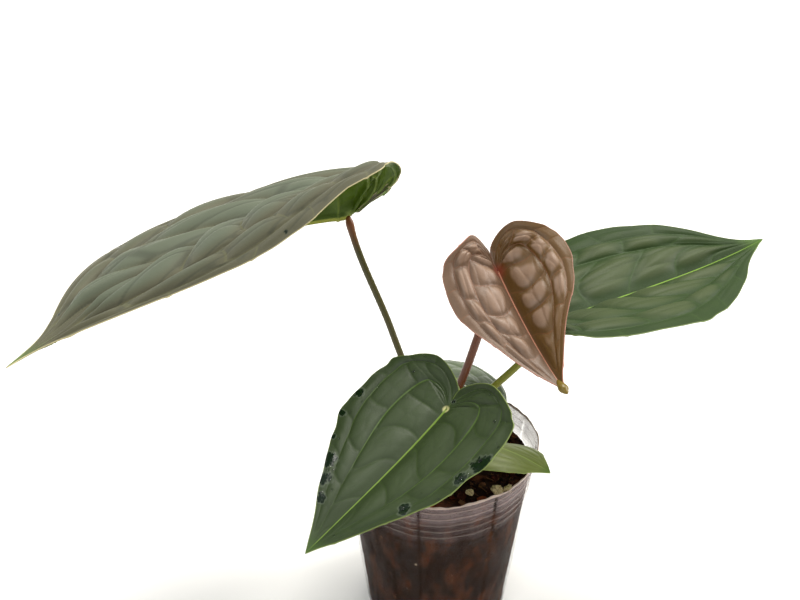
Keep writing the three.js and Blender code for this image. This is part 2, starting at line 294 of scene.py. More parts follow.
plainLook = {  # what every leaf shares unless its own entry says otherwise
    "surface": {"Roughness": 0.5, "Sheen Weight": 0.0, "Sheen Roughness": 0.4, "Coat Weight": 0.0},
    "midribWidth": 0.8, "cloud": 14.0, "grain": 0.45, "skinCell": 1.1, "bump": 0.3, "veinWidth": 0.6,
    "archFrom": 0.0, "archEnd": 0.9, "half": "#000000", "shadedHalfShare": 0.0,
    "pillowShadingFrom": 0.15, "pillowShadingShare": 0.75, "netAndCreaseShadeShare": 0.35, "veinShare": 0.3, "archShare": 0.5,
    "midribShare": 0.9, "marginShare": 0.7, "marginWidth": 0.5, "tipShare": 0.8, "tipFrom": 0.88,
    "wet": "#061a0a", "wetShare": 0.0, "paleWetRim": "#8d958a", "paleWetRimShare": 0.0,
    "heart": "#8a9a50", "heartSize": 4.0, "heartShare": 0.6,
}

upperLooks = {
    # velvety upper skin: tiny upright cells scatter light sideways, so it greys at a glance
    "large": {"deep": "#45442f", "body": "#595741", "pillow": "#586250", "net": "#2a2f20", "vein": "#62623f",
              "midrib": "#55602f", "margin": "#b9af84", "tip": "#54702a", "veinWidth": 0.7, "veinShare": 0.5,
              "netAndCreaseShadeShare": 0.45, "wetShare": 0.9, "marginWidth": 0.45,
              "surface": {"Roughness": 0.6, "Sheen Weight": 0.3, "Sheen Roughness": 0.4,
                          "Sheen Tint": hexColour("#b9bba8"), "Specular IOR Level": 0.35}},
    "front": {"deep": "#21300f", "body": "#30401c", "pillow": "#475439", "net": "#222f16", "vein": "#4a6326",
              "midrib": "#739034", "margin": "#6f8038", "tip": "#3f5a20", "midribWidth": 0.65,
              "netAndCreaseShadeShare": 0.12, "archFrom": 0.15, "archEnd": 0.62, "wetShare": 0.97, "paleWetRimShare": 0.16,
              "pillowShadingShare": 0.42,
              "heart": "#c9c58a", "heartSize": 2.2, "heartShare": 0.9, "veinShare": 0.1, "archShare": 0.85,
              "surface": {"Roughness": 0.5, "Sheen Weight": 0.22, "Sheen Roughness": 0.35,
                          "Sheen Tint": hexColour("#b4bba8"), "Specular IOR Level": 0.45}},
    # young: its half colour is painted shade on one half of the fold, its pillow colour a painted highlight
    # on the pillow tops
    "young": {"deep": "#614934", "body": "#795f4b", "pillow": "#957a66", "net": "#5a3d22", "vein": "#84502e",
              "midrib": "#c9876a", "margin": "#b07a68", "tip": "#6b6a1c", "tipFrom": 0.94, "midribWidth": 0.6,
              "half": "#5c3e06", "shadedHalfShare": 0.9, "pillowShadingFrom": 0.55, "archFrom": 0.1, "archEnd": 0.7,
              "heart": "#8a2a18", "heartSize": 6.0, "heartShare": 0.6, "veinShare": 0.3, "archShare": 0.5,
              "veinWidth": 0.4, "cloud": 9.0, "pillowShadingShare": 0.62, "netAndCreaseShadeShare": 0.1, "marginShare": 0.5,
              "surface": {"Roughness": 0.46, "Sheen Weight": 0.15, "Sheen Roughness": 0.3,
                          "Sheen Tint": hexColour("#d8c0b8"), "Specular IOR Level": 0.5}},
    "right": {"deep": "#1f330e", "body": "#2e4217", "pillow": "#4c5535", "net": "#1a2b0e", "vein": "#3a5222",
              "midrib": "#7da236", "margin": "#6f8048", "tip": "#4f6d28", "midribWidth": 0.85,
              "netAndCreaseShadeShare": 0.15, "pillowShadingShare": 0.58,
              "surface": {"Roughness": 0.5, "Sheen Weight": 0.04, "Sheen Roughness": 0.35,
                          "Sheen Tint": hexColour("#bcc4a0"), "Specular IOR Level": 0.2}},
    "back": {"deep": "#44523a", "body": "#525f43", "pillow": "#5f6c4e", "net": "#48563a", "vein": "#6b7a4a",
             "midrib": "#7d8f4c", "margin": "#8a9660", "tip": "#6f7f3c",
             "surface": {"Roughness": 0.5, "Sheen Weight": 0.3, "Sheen Roughness": 0.4}},
    "rim": {"deep": "#6c7838", "body": "#7c8748", "pillow": "#8a9556", "net": "#6f7b3c", "vein": "#949f5c",
            "midrib": "#93a855", "margin": "#86964a", "tip": "#4f6d28", "netAndCreaseShadeShare": 0.15, "veinShare": 0.2,
            "surface": {"Roughness": 0.4, "Sheen Weight": 0.0}},
}

lowerLooks = {
    # thin living tissue: light comes through it, so the lower side is a fresher green
    "large": {"deep": "#3a4e08", "body": "#4a620a", "pillow": "#526a10", "net": "#4f6618", "vein": "#76863a",
              "midrib": "#93983e", "margin": "#b9af84", "tip": "#54702a"},
    "front": {"deep": "#3a4b1b", "body": "#475927", "pillow": "#4f6230", "net": "#5b6e34", "vein": "#73863f",
              "midrib": "#86984a", "margin": "#6f8038", "tip": "#4a6522"},
    "young": {"deep": "#5e3524", "body": "#70432e", "pillow": "#774b35", "net": "#825640", "vein": "#9a6a4a",
              "midrib": "#a87350", "margin": "#a8695a", "tip": "#6b6a1c"},
    "right": {"deep": "#3c501d", "body": "#4b6029", "pillow": "#556a32", "net": "#617638", "vein": "#788b4a",
              "midrib": "#8c9c50", "margin": "#6f8048", "tip": "#4f6d28"},
    "back": {"deep": "#4a592c", "body": "#5a6a36", "pillow": "#63733e", "net": "#6d7d40", "vein": "#7d8c4a",
             "midrib": "#8b9750", "margin": "#8a9660", "tip": "#6f7f3c"},
    "rim": {"deep": "#5c6d2e", "body": "#6c7d38", "pillow": "#76873f", "net": "#788940", "vein": "#8a994c",
            "midrib": "#98a556", "margin": "#86964a", "tip": "#4f6d28"},
}


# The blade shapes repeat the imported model's: length from the petiole to the tip, then lobe, width,
# belly, gap and tail as shares of it, and the angles that fold, curl, bend and turn the blade.

leaves = {
    "large": {
        "length": 177.5, "lobe": 0.14, "width": 0.9, "belly": 0.2, "gap": 0.44, "tail": 0.05,
        "halves": (0.91, 1.04), "fold": 43, "tipFold": 0, "lean": -56, "curl": -61, "curlLean": -13,
        "lift": -2, "bend": -101, "sweep": 53, "twist": -20, "heading": 184, "pitch": -3, "roll": 83.5,
        "at": (-43.5, 24, 221), "grid": (210, 200), "ripple": 0.004,
        "veins": 9, "slant": 0.2, "arches": ((0.2, 0.12, 0.62), (0.06, 0.12, 0.86)),
        "puff": 5.2, "pillow": 13, "outer": 0.25, "middle": 0.55, "quilt": 0.9, "cell": 9.0, "split": 1,
        "groove": 0.8, "wave": 0.4, "sink": (1.2, 3.2), "skin": 0.45, "rib": 1.8, "seed": 11,
        "wet": ((0.6, 0.95, 1.8), (0.72, -0.9, 2.2), (0.42, -0.82, 2.0), (0.86, -0.85, 1.6)),
    },
    "front": {
        "length": 88.5, "lobe": 0.23, "width": 0.91, "belly": 0.21, "gap": 0.04, "tail": 0.1,
        "halves": (1.04, 1), "fold": 9, "tipFold": 15, "lean": 0, "curl": 4, "curlLean": 0,
        "lift": 52, "bend": 21, "sweep": -14, "twist": -10, "heading": 224, "pitch": -27, "roll": 4.5,
        "at": (0.5, -54.5, 164), "grid": (190, 180), "ripple": 0.015,
        "veins": 8, "slant": 0.1, "arches": ((0.2, 0.1, 0.5), (0.05, 0.1, 0.8)),
        "puff": 0.9, "pillow": 10, "outer": 0.9, "middle": 1, "quilt": 0.12, "cell": 6.0, "split": 2,
        "groove": 0.45, "wave": 0.5, "sink": (0.4, 0.4), "skin": 0.4, "rib": 1.4, "seed": 23,
        "wet": ((0.55, -0.95, 3.0), (0.62, -0.96, 1.8), (0.69, -0.97, 1.3), (0.755, -0.93, 4.2),
                (0.8, -0.94, 3.6), (0.84, -0.9, 2.4), (0.545, 0.93, 5.0), (0.6, 0.9, 3.2),
                (0.745, 0.84, 2.8), (0.1, 0.35, 1.4)),
    },
    "young": {
        "length": 71.5, "lobe": 0.32, "width": 0.91, "belly": 0.16, "gap": 0.04, "tail": 0.1,
        "halves": (1.06, 1), "fold": 43, "tipFold": 26, "lean": 0, "curl": -37, "curlLean": 0,
        "lift": 36, "bend": 20, "sweep": 6, "twist": 24, "heading": 293.5, "pitch": -30, "roll": 10,
        "at": (26, 1, 202.5), "grid": (190, 180), "ripple": 0.006,
        "veins": 9, "slant": 0.06, "arches": ((0.2, 0.09, 0.58), (0.05, 0.09, 0.82)),
        "puff": 2.1, "pillow": 7, "outer": 0.2, "middle": 1, "quilt": 0.5, "cell": 5.0, "split": 1,
        "groove": 0.3, "wave": 0.5, "sink": (0.7, 0.7), "skin": 0.45, "rib": 1.3, "seed": 37,
    },
    "right": {
        "length": 142, "lobe": 0.18, "width": 0.82, "belly": 0.26, "gap": 0.15, "tail": 0.1,
        "halves": (0.99, 1), "fold": 26, "tipFold": 22, "lean": 0, "curl": -33, "curlLean": 0,
        "lift": 17, "bend": -14, "sweep": 21, "twist": 31, "heading": 28.5, "pitch": 5, "roll": -14.5,
        "at": (53.5, 17, 163.5), "grid": (200, 180), "ripple": 0.012,
        "veins": 9, "slant": 0.16, "arches": ((0.17, 0.12, 0.56), (0.05, 0.12, 0.8)),
        "puff": 2.3, "pillow": 11, "outer": 0.3, "middle": 1, "quilt": 0.6, "cell": 8.0, "split": 1,
        "groove": 0.4, "wave": 1.2, "sink": (1.2, 1.6), "skin": 0.45, "rib": 1.6, "seed": 41,
        "wet": ((0.6, -0.93, 1.5), (0.7, -0.95, 1.6), (0.52, -0.8, 1.2)),
    },
    "back": {
        "length": 64, "lobe": 0.42, "width": 0.81, "belly": 0.19, "gap": 0.1, "tail": 0.1,
        "halves": (1, 1), "fold": 2, "tipFold": 5, "lean": 0, "curl": -11, "curlLean": 0,
        "lift": -22, "bend": -28, "sweep": -6, "twist": -3, "heading": 127, "pitch": -5, "roll": 14,
        "at": (11, 36.5, 116), "grid": (120, 100), "ripple": 0.006,
        "veins": 10, "slant": 0.12, "arches": ((0.2, 0.1, 0.5), (0.05, 0.1, 0.83)),
        "puff": 0.8, "pillow": 6, "outer": 1, "middle": 1, "quilt": 0.2, "cell": 5.0, "split": 1,
        "groove": 0.35, "wave": 0.4, "sink": (0.3, 0.3), "skin": 0.45, "rib": 1.2, "seed": 53,
    },
    "rim": {
        "length": 54.5, "lobe": 0.04, "width": 0.68, "belly": 0.39, "gap": 0.1, "tail": 0.2,
        "halves": (1.02, 1), "fold": -11, "tipFold": 3, "lean": 0, "curl": -35, "curlLean": 0,
        "lift": 4, "bend": -32, "sweep": 0, "twist": 21, "heading": 334.5, "pitch": 16, "roll": -23,
        "at": (7, -6, 109.5), "grid": (110, 90), "ripple": 0.0,
        "veins": 6, "slant": 0.25, "arches": ((0.15, 0.2, 0.45), (0.05, 0.2, 0.75)),
        "puff": 0.35, "pillow": 6, "outer": 1, "middle": 1, "quilt": 0.06, "cell": 4.0, "split": 1,
        "groove": 0.25, "wave": 0.0, "sink": (0, 0), "skin": 0.45, "rib": 1.0, "seed": 61,
    },
}

bladeHalf = 0.4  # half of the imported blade's thickness
midribBow = 0.1
midribStart = 0.36


def flatBlade(leaf, t, a):  # the blade pressed flat: along and across, in shares of its length
    half = leaf["width"] / 2
    lobe, belly, gap, tail = (leaf[k] for k in ("lobe", "belly", "gap", "tail"))
    outline = [(0, 0), (-0.55 * lobe, 0.5 * gap * half), (-lobe, 0.42 * half), (-0.72 * lobe, 0.8 * half),
               (0.5 * belly - 0.16, 0.97 * half), (belly, half), (belly + 0.22, 0.84 * half),
               (belly + 0.42, 0.56 * half), (0.86, 2 * tail * half), (1, 0)]
    edge = splinePoint(outline, t)
    rib = np.clip((t - midribStart) / (1 - midribStart), 0, 1) ** 1.15
    bow = midribBow * (1 - t) * np.clip(t / 0.3, 0, 1) * 4 * a * (1 - a)
    return rib * (1 - a) + edge[:, 0] * a - 0.5 * bow, edge[:, 1] * a + 0.35 * bow


def leafPose(leaf):
    turn = Matrix.Rotation(math.radians(leaf["heading"]), 3, "Z")
    turn = turn @ Matrix.Rotation(-math.radians(leaf["pitch"]), 3, "Y")
    return np.array(turn @ Matrix.Rotation(math.radians(leaf["roll"]), 3, "X"))


def bladeSurface(leaf, t, v):  # points and upper normals on the blade's middle surface, in mm
    side, a, length = np.where(v < 0, -1.0, 1.0), np.abs(v), leaf["length"]
    x, y = flatBlade(leaf, t, a)
    across = y * length * np.where(v < 0, leaf["halves"][1], leaf["halves"][0])
    ripple = np.sin(31 * t + 5 * side) + 0.7 * np.sin(57 * t + 2 * side) + 0.4 * np.sin(93 * t)
    across *= 1 + leaf["ripple"] * a ** 5 * ripple * smoothStep(t, 0.2, 0.4)  # the margin isn't quite even
    s = np.clip(x, -0.5, 1)
    fold = np.radians(leaf["fold"] + (leaf["tipFold"] - leaf["fold"]) * s + leaf["lean"] * side)
    curl = np.radians(leaf["curl"] * (1 - 0.5 * np.clip(s, 0, 1)) + leaf["curlLean"] * side)
    bendRadius = leaf["width"] * length / 2 / curl
    angle = fold + across / bendRadius
    out = side * bendRadius * (np.sin(angle) - np.sin(fold))
    rise = bendRadius * (np.cos(fold) - np.cos(angle))
    stations = np.linspace(-0.5, 1, 301)
    slopes = np.radians(np.where(stations > 0, leaf["bend"] * stations + leaf["sweep"] * stations ** 2,
                                 leaf["lift"] * stations / 0.3))
    steps = np.diff(stations)
    ribX = np.concatenate([[0], np.cumsum((np.cos(slopes[1:]) + np.cos(slopes[:-1])) / 2 * steps)])
    ribZ = np.concatenate([[0], np.cumsum((np.sin(slopes[1:]) + np.sin(slopes[:-1])) / 2 * steps)])
    along = (np.interp(x, stations, ribX) - np.interp(0, stations, ribX)) * length
    up = (np.interp(x, stations, ribZ) - np.interp(0, stations, ribZ)) * length
    slope, twist = np.interp(x, stations, slopes), np.radians(leaf["twist"] * s)
    # the halves meet in a crease, so the normal eases to the one between them at the midrib
    ease, lean = np.clip(across / 2, 0, 1), math.radians(leaf["lean"])
    faceY = -math.sin(lean) * (1 - ease) - side * np.sin(angle) * ease
    faceZ = math.cos(lean) * (1 - ease) + np.cos(angle) * ease
    pose = leafPose(leaf)

    def placed(sideways, upwards, alongRib, upRib):
        u = sideways * np.cos(twist) - upwards * np.sin(twist)
        w = sideways * np.sin(twist) + upwards * np.cos(twist)
        return np.stack([alongRib - w * np.sin(slope), u, upRib + w * np.cos(slope)], 1) @ pose.T

    points = placed(out, rise, along, up) + np.array(leaf["at"])
    normals = placed(faceY, faceZ, 0, 0)
    return points, normals / np.linalg.norm(normals, axis=1)[:, None], x * length, across


def quiltBlade(leaf, t, v):  # height above the smooth blade, and what the material reads
    side, a, length, step = np.where(v < 0, -1.0, 1.0), np.abs(v), leaf["length"], 0.004

    def flatPoint(tt, aa):
        x, y = flatBlade(leaf, np.clip(tt, 0, 1), np.clip(aa, 0, 1))
        return np.stack([x, y], 1) * length

    here = flatPoint(t, a)
    alongVein = flatPoint(t, a + step) - flatPoint(t, a - step)
    alongVein /= np.linalg.norm(alongVein, axis=1)[:, None] + 1e-9
    alongEdge = flatPoint(t + step, a) - flatPoint(t - step, a)
    run = np.abs(alongEdge[:, 0] * alongVein[:, 1] - alongEdge[:, 1] * alongVein[:, 0]) / (2 * step)
    toMargin = flatPoint(t, np.ones_like(a)) - here
    edgeWay = alongEdge / (np.linalg.norm(alongEdge, axis=1)[:, None] + 1e-9)
    fromMargin = np.abs(toMargin[:, 0] * edgeWay[:, 1] - toMargin[:, 1] * edgeWay[:, 0])
    fromMidrib = np.hypot(here[:, 1], np.minimum(here[:, 0], 0))  # the midrib starts at the petiole
    fromPetiole = np.hypot(here[:, 0], here[:, 1])
    veinLength = np.linalg.norm(flatPoint(t, np.ones_like(a)) - flatPoint(t, np.zeros_like(a)), axis=1)

    # two basal veins arch out from the petiole and run on to the tip; side veins leave the midrib
    # slantwise and step sideways where they cross an arch
    seed, count = leaf["seed"], leaf["veins"]
    sway = 0.16 * np.sin(7 * a + 3 * side + seed) + 0.12 * np.sin(17 * t + 5 * a + seed + side)
    drift = 1 + 0.06 * np.sin(11 * t + seed + side)
    arches = [share * drift * (1 - np.exp(-np.clip(t - start, 0, 1) / turn))
              for start, turn, share in leaf["arches"]]
    phase = count * (t - leaf["slant"] * a * (1.25 - 0.5 * a)) + sway + 0.3 * side
    for bound, jog in zip(arches, (0.5, 0.4)):
        phase += jog * smoothStep(a - bound, -0.03, 0.03)
    slope = np.maximum(run / count, 1e-6)
    veinRun = leaf["slant"] * count / np.maximum(veinLength, 1)
    gap = slope / np.sqrt(1 + (slope * veinRun) ** 2)
    bounds = [np.zeros_like(a), *arches, np.ones_like(a)]
    band = (a >= bounds[1]).astype(int) + (a >= bounds[2])
    low = np.choose(band, bounds[:3])
    high = np.choose(band, bounds[1:])
    across = np.clip((a - low) / np.maximum(high - low, 1e-4), 0, 1)
    width = (high - low) * veinLength
    nearVein = np.abs((phase + 0.5) % 1 - 0.5) * 2
    lateral = np.sin(nearVein * np.pi / 2) ** 0.8
    outerFade = np.where(band == 2, leaf["outer"] * (1 - smoothStep(across, 0.35, 1)),
                         np.where(band == 1, leaf["middle"], 1))
    outerFade *= 0.15 + 0.85 * smoothStep(t, 0.12, 0.34)  # the lobes are smoother than the rest
    bulge = np.where(band == 2, np.sin(np.minimum(across * 1.6, 1) * np.pi / 2), np.sin(across * np.pi))
    bulge = bulge ** 0.6
    reach = np.clip(np.minimum(gap * 1.3, width) / leaf["pillow"], 0, 1.15)
    bulge *= smoothStep(fromMidrib, 0, 8)
    puff = leaf["puff"] * (0.3 * bulge + 0.7 * bulge * lateral) * reach * outerFade

    lumpU, lumpW = phase * leaf["split"] + 40, across * np.maximum(width, 4) / leaf["cell"] + 7 + 9 * band
    wallGap, cellShade = cells(lumpU, lumpW + 20 * (side > 0), seed)
    lump = np.sin(np.clip(wallGap / 0.36, 0, 1) * np.pi / 2)
    fade = smoothStep(fromMargin, 0.5, 5) * smoothStep(fromMidrib, 0.8, 5) * np.clip(gap / 4, 0, 1)
    puff += leaf["quilt"] * (lump * (0.6 + 0.8 * cellShade) - 0.4) * fade * bulge * np.sqrt(outerFade)
    grooves = np.exp(-(fromMidrib / 1.2) ** 2) * leaf["groove"] * (1 - 0.6 * t)
    signed = [(a - bound) * veinLength for bound in arches]
    calm = smoothStep(fromPetiole, 0.5, 7) * smoothStep(length - here[:, 0], 0, 8)
    for away in signed:
        fading = 1 - 0.7 * smoothStep(t, 0.35, 0.8)
        grooves += np.exp(-(away / 0.8) ** 2) * leaf["groove"] * 0.5 * calm * fading
    grooves += np.exp(-(nearVein * gap / 2 / 0.6) ** 2) * leaf["groove"] * 0.3 * calm
    wave = leaf["wave"] * a ** 4 * (np.sin(13 * t + 2 * side + seed) + 0.5 * np.sin(29 * t + seed))
    sink = np.where(v < 0, leaf["sink"][1], leaf["sink"][0])
    sink = sink * smoothStep(a, 0, 0.6) * smoothStep(1 - t, 0.05, 0.4)
    height = (puff - sink + wave) * calm - grooves * smoothStep(1 - t, 0, 0.1)

    wet = np.zeros_like(t)
    splashGap, splash = cells(here[:, 0] / 1.9, side * here[:, 1] / 1.9, seed + 5)
    splash = 0.8 * splash + 0.6 * (1 - smoothStep(splashGap, 0, 0.12))
    for spotT, spotV, radius in leaf.get("wet", ()):
        spotX, spotY = flatPoint(np.array([spotT]), np.array([abs(spotV)]))[0]
        away = np.hypot(here[:, 0] - spotX, side * here[:, 1] - math.copysign(spotY, spotV))
        wet = np.maximum(wet, 1 - smoothStep(away / radius + 0.55 * splash, 0.75, 1.5))
    net = np.exp(-(wallGap / 0.07) ** 2) * fade
    crowded = 1 - smoothStep(gap, 1.5, 5)  # side veins too close to tell apart don't show
    return height, {
        "veins": (phase, gap + 20 * crowded, net),
        "arches": (signed[0], signed[1], fromMidrib),
        "edges": (fromMargin, np.clip(here[:, 0] / length, 0, 1), np.clip(puff / leaf["puff"], 0, 1)),
        "flat": (here[:, 0], side * here[:, 1], np.zeros_like(t)),
    }, wet, (fromMidrib, nearVein * gap / 2 + 9 * crowded, signed)


def flatGrid(columns, rows):  # a sheet and its two coordinates: t from petiole to tip, v across
    bm = bmesh.new()
    bmesh.ops.create_grid(bm, x_segments=columns, y_segments=rows, size=1)
    mesh = bpy.data.meshes.new("sheet")
    bm.to_mesh(mesh)
    bm.free()
    grid = readPoints(mesh)
    t = np.clip((grid[:, 0] + 1) / 2, 0, 1)
    return mesh, t, np.where(np.abs(grid[:, 1]) < 1e-6, 0, grid[:, 1])


def makeBlade(name):
    leaf = leaves[name]
    mesh, t, v = flatGrid(*leaf["grid"])
    points, normals, _, _ = bladeSurface(leaf, t, v)
    height, attributes, wet, (fromMidrib, fromVein, fromArches) = quiltBlade(leaf, t, v)
    writePoints(mesh, (points + normals * (bladeHalf + height)[:, None]) * mm)
    for key, columns in attributes.items():
        addVectors(mesh, key, columns)
    addFloats(mesh, "wet", wet)
    # the lower side carries the veins as ribs, so the wall is thicker along them
    rib = leaf["rib"] * np.exp(-(fromMidrib / 1.0) ** 2) * (1 - 0.8 * attributes["edges"][1])
    rib += 0.3 * np.exp(-(fromVein / 0.6) ** 2)
    rib += 0.35 * sum(np.exp(-(away / 0.7) ** 2) for away in fromArches)
    rib *= smoothStep(np.hypot(*attributes["flat"][:2]), 0.3, 3.5)  # the ribs sink into the petiole's head
    most = leaf["skin"] + leaf["rib"] + 1.0
    addFloats(mesh, "thick", (leaf["skin"] + rib * smoothStep(1 - t, 0, 0.1)) / most)
    bm = bmesh.new()
    bm.from_mesh(mesh)
    bpy.data.meshes.remove(mesh)
    bmesh.ops.remove_doubles(bm, verts=bm.verts, dist=2e-6)
    upper = leafMaterial(f"leafSkin_{name}", {**plainLook, **upperLooks[name]})
    lower = leafMaterial(f"leafUnderside_{name}", {**plainLook, **upperLooks[name], **lowerLooks[name],
                                                   "wetShare": 0.0, "shadedHalfShare": 0.0, "bump": 0.2,
                                                   "paleWetRimShare": 0.0, "veinShare": 0.4,
                                                   "surface": {"Roughness": 0.5, "Specular IOR Level": 0.25}})
    margin, _ = newMaterial(f"leafMargin_{name}", {"Base Color": hexColour(upperLooks[name]["margin"]),
                                                   "Roughness": 0.5})
    blade = addObject(bm, f"blade_{name}", [upper, lower, margin])
    group = blade.vertex_groups.new(name="wall")
    values = np.empty(len(blade.data.vertices), np.float32)
    blade.data.attributes["thick"].data.foreach_get("value", values)
    for index, value in enumerate(values):
        group.add([index], float(value), "REPLACE")
    solid = blade.modifiers.new("wall", "SOLIDIFY")
    solid.thickness = most * mm
    solid.vertex_group = "wall"
    solid.offset = -1
    solid.use_rim = True
    solid.material_offset = 1
    solid.material_offset_rim = 2
    return finishPiece(blade, f"leaf_{name}", f"leaf_{name}")


def makeDrops(name, drops):  # beads of water resting on a blade
    leaf = leaves[name]
    rng = np.random.default_rng(drops["seed"])
    t = rng.uniform(0.24, 0.9, drops["count"])
    v = rng.choice([-1, 1], drops["count"]) * rng.uniform(0.35, 0.95, drops["count"]) ** 0.5
    radii = rng.uniform(0.2, 0.75, drops["count"])
    t, v = np.append(t, [p[0] for p in drops["at"]]), np.append(v, [p[1] for p in drops["at"]])
    radii = np.append(radii, [p[2] for p in drops["at"]])
    points, normals, _, _ = bladeSurface(leaf, t, v)
    height = quiltBlade(leaf, t, v)[0]
    bm = bmesh.new()
    for point, normal, up, radius in zip(points, normals, height, radii):
        turn = Vector((0, 0, 1)).rotation_difference(Vector(normal)).to_matrix().to_4x4()
        shape = Matrix.Diagonal((radius * mm, radius * rng.uniform(0.8, 1.2) * mm, 0.5 * radius * mm, 1))
        spot = Vector(point + normal * (bladeHalf + up)) * mm
        bmesh.ops.create_icosphere(bm, subdivisions=3, radius=1,
                                   matrix=Matrix.Translation(spot) @ turn @ shape)
    mat, _ = newMaterial("water", {"Base Color": hexColour("#eef2ee"), "Roughness": 0.02,
                                   "IOR": 1.33, "Transmission Weight": 1.0})
    finishPiece(addObject(bm, f"drops_{name}", [mat]), f"leaf_{name}")


def makeCurledTip(name):  # the young blade's tip is still rolled into a fleshy point
    leaf = leaves[name]
    ends, normals, _, _ = bladeSurface(leaf, np.array([0.955, 0.985, 1.0]), np.zeros(3))
    down, over = ends[2] - ends[1], normals[2]
    down = down / np.linalg.norm(down)
    share = np.linspace(0, 1, 25)
    path = splinePoint([ends[0], ends[1] + over * 0.3, ends[2] + over * 0.5,
                        ends[2] + down * 1.6 + over * 0.3, ends[2] + down * 3.4], share)
    radii = np.interp(share, [0, 0.2, 0.45, 0.65, 0.85, 1], [0.8, 2.0, 2.5, 2.3, 1.3, 0.3])
    mat, _ = newMaterial("youngTipSkin", {"Roughness": 0.4, "Base Color": hexColour("#6f5c14")})
    bm = sweepTube(path, radii, 20, lambda s: 0.8)
    finishPiece(addObject(bm, f"curled_tip_{name}", [mat]), f"leaf_{name}")


for leafName in leaves:
    makeBlade(leafName)
    print("blade made:", leafName)


crown = {"x": -2, "y": 2, "top": 102, "ring": 5}

petioles = {
    "large": {"radius": 1.7, "angle": 165, "via": [(-24, 13, 162)], "slot": "petiole_olive",
              "foot": "#5f6430", "stalk": "#3d3a0a", "neck": "#70401e", "gloss": 0.4},
    "front": {"radius": 1.9, "angle": -125, "via": [(-4, -26, 132)], "slot": "petiole_green",
              "foot": "#6d7437", "stalk": "#4c5c1c", "neck": "#b9b57a", "gloss": 0.4},
    "young": {"radius": 2.1, "angle": 30, "via": [(14.5, 3, 152)], "slot": "petiole_red",
              "foot": "#5b4a22", "stalk": "#5a2a06", "neck": "#7a3020", "gloss": 0.3},
    "right": {"radius": 1.9, "angle": -25, "via": [(26, 9.5, 129), (39, 13, 141)], "slot": "petiole_green",
              "foot": "#6d7437", "stalk": "#757818", "neck": "#8a8a2c", "gloss": 0.35},
    "back": {"radius": 1.5, "angle": 95, "via": [(3, 20, 105.5), (8.5, 31, 107.5)], "slot": "petiole_green",
             "foot": "#7d8447", "stalk": "#7a8440", "neck": "#94a055", "gloss": 0.4},
    "rim": {"radius": 1.3, "angle": -75, "via": [], "slot": "petiole_green",
            "foot": "#8a9350", "stalk": "#8f9a4a", "neck": "#a5ad5c", "gloss": 0.4},
}


def aroundCrown(angle, radius, z):
    turn = math.radians(angle)
    return np.array([crown["x"] + radius * math.cos(turn), crown["y"] + radius * math.sin(turn), z])


def sweepTube(path, radii, sides, squash=None):  # path in mm; a ring carried along it by extrusion
    bm = bmesh.new()
    along = bm.verts.layers.float.new("along")
    tangents = np.gradient(path, axis=0)
    frameTurn = Vector((0, 0, 1)).rotation_difference(Vector(tangents[0]))
    made = bmesh.ops.create_circle(bm, cap_ends=True, segments=sides, radius=1)
    ring = list(bm.edges)
    verts, last = made["verts"], Matrix.Identity(4)
    for k, (point, tangent, radius) in enumerate(zip(path, tangents, radii)):
        if k:
            before = frameTurn @ Vector((0, 0, 1))
            frameTurn = before.rotation_difference(Vector(tangent)) @ frameTurn
            grown = bmesh.ops.extrude_edge_only(bm, edges=ring)["geom"]
            verts = [g for g in grown if isinstance(g, bmesh.types.BMVert)]
            ring = [g for g in grown if isinstance(g, bmesh.types.BMEdge)
                    and all(v in verts for v in g.verts)]
        flatten = squash(k / (len(path) - 1)) if squash else 1
        scale = Matrix.Diagonal((radius * mm, radius * flatten * mm, radius * mm, 1))
        spot = Matrix.Translation(Vector(point) * mm) @ frameTurn.to_matrix().to_4x4() @ scale
        bmesh.ops.transform(bm, matrix=spot @ last.inverted(), verts=verts)
        last = spot
        for vert in verts:
            vert[along] = k / (len(path) - 1)
    bmesh.ops.contextual_create(bm, geom=ring)
    bmesh.ops.recalc_face_normals(bm, faces=bm.faces)
    return bm


def stalkPath(points, count):  # smooth path through unevenly spaced points, sampled evenly
    points = np.array(points, float)
    run = np.concatenate([[0], np.cumsum(np.linalg.norm(np.diff(points, axis=0), axis=1))])
    slopes = np.gradient(points, run, axis=0)
    place = np.linspace(0, run[-1], count)
    i = np.clip(np.searchsorted(run, place, side="right") - 1, 0, len(run) - 2)
    span = (run[i + 1] - run[i])[:, None]
    w = (place - run[i])[:, None] / span
    start = (2 * w ** 3 - 3 * w ** 2 + 1) * points[i] + (w ** 3 - 2 * w ** 2 + w) * span * slopes[i]
    end = (3 * w ** 2 - 2 * w ** 3) * points[i + 1] + (w ** 3 - w ** 2) * span * slopes[i + 1]
    return start + end


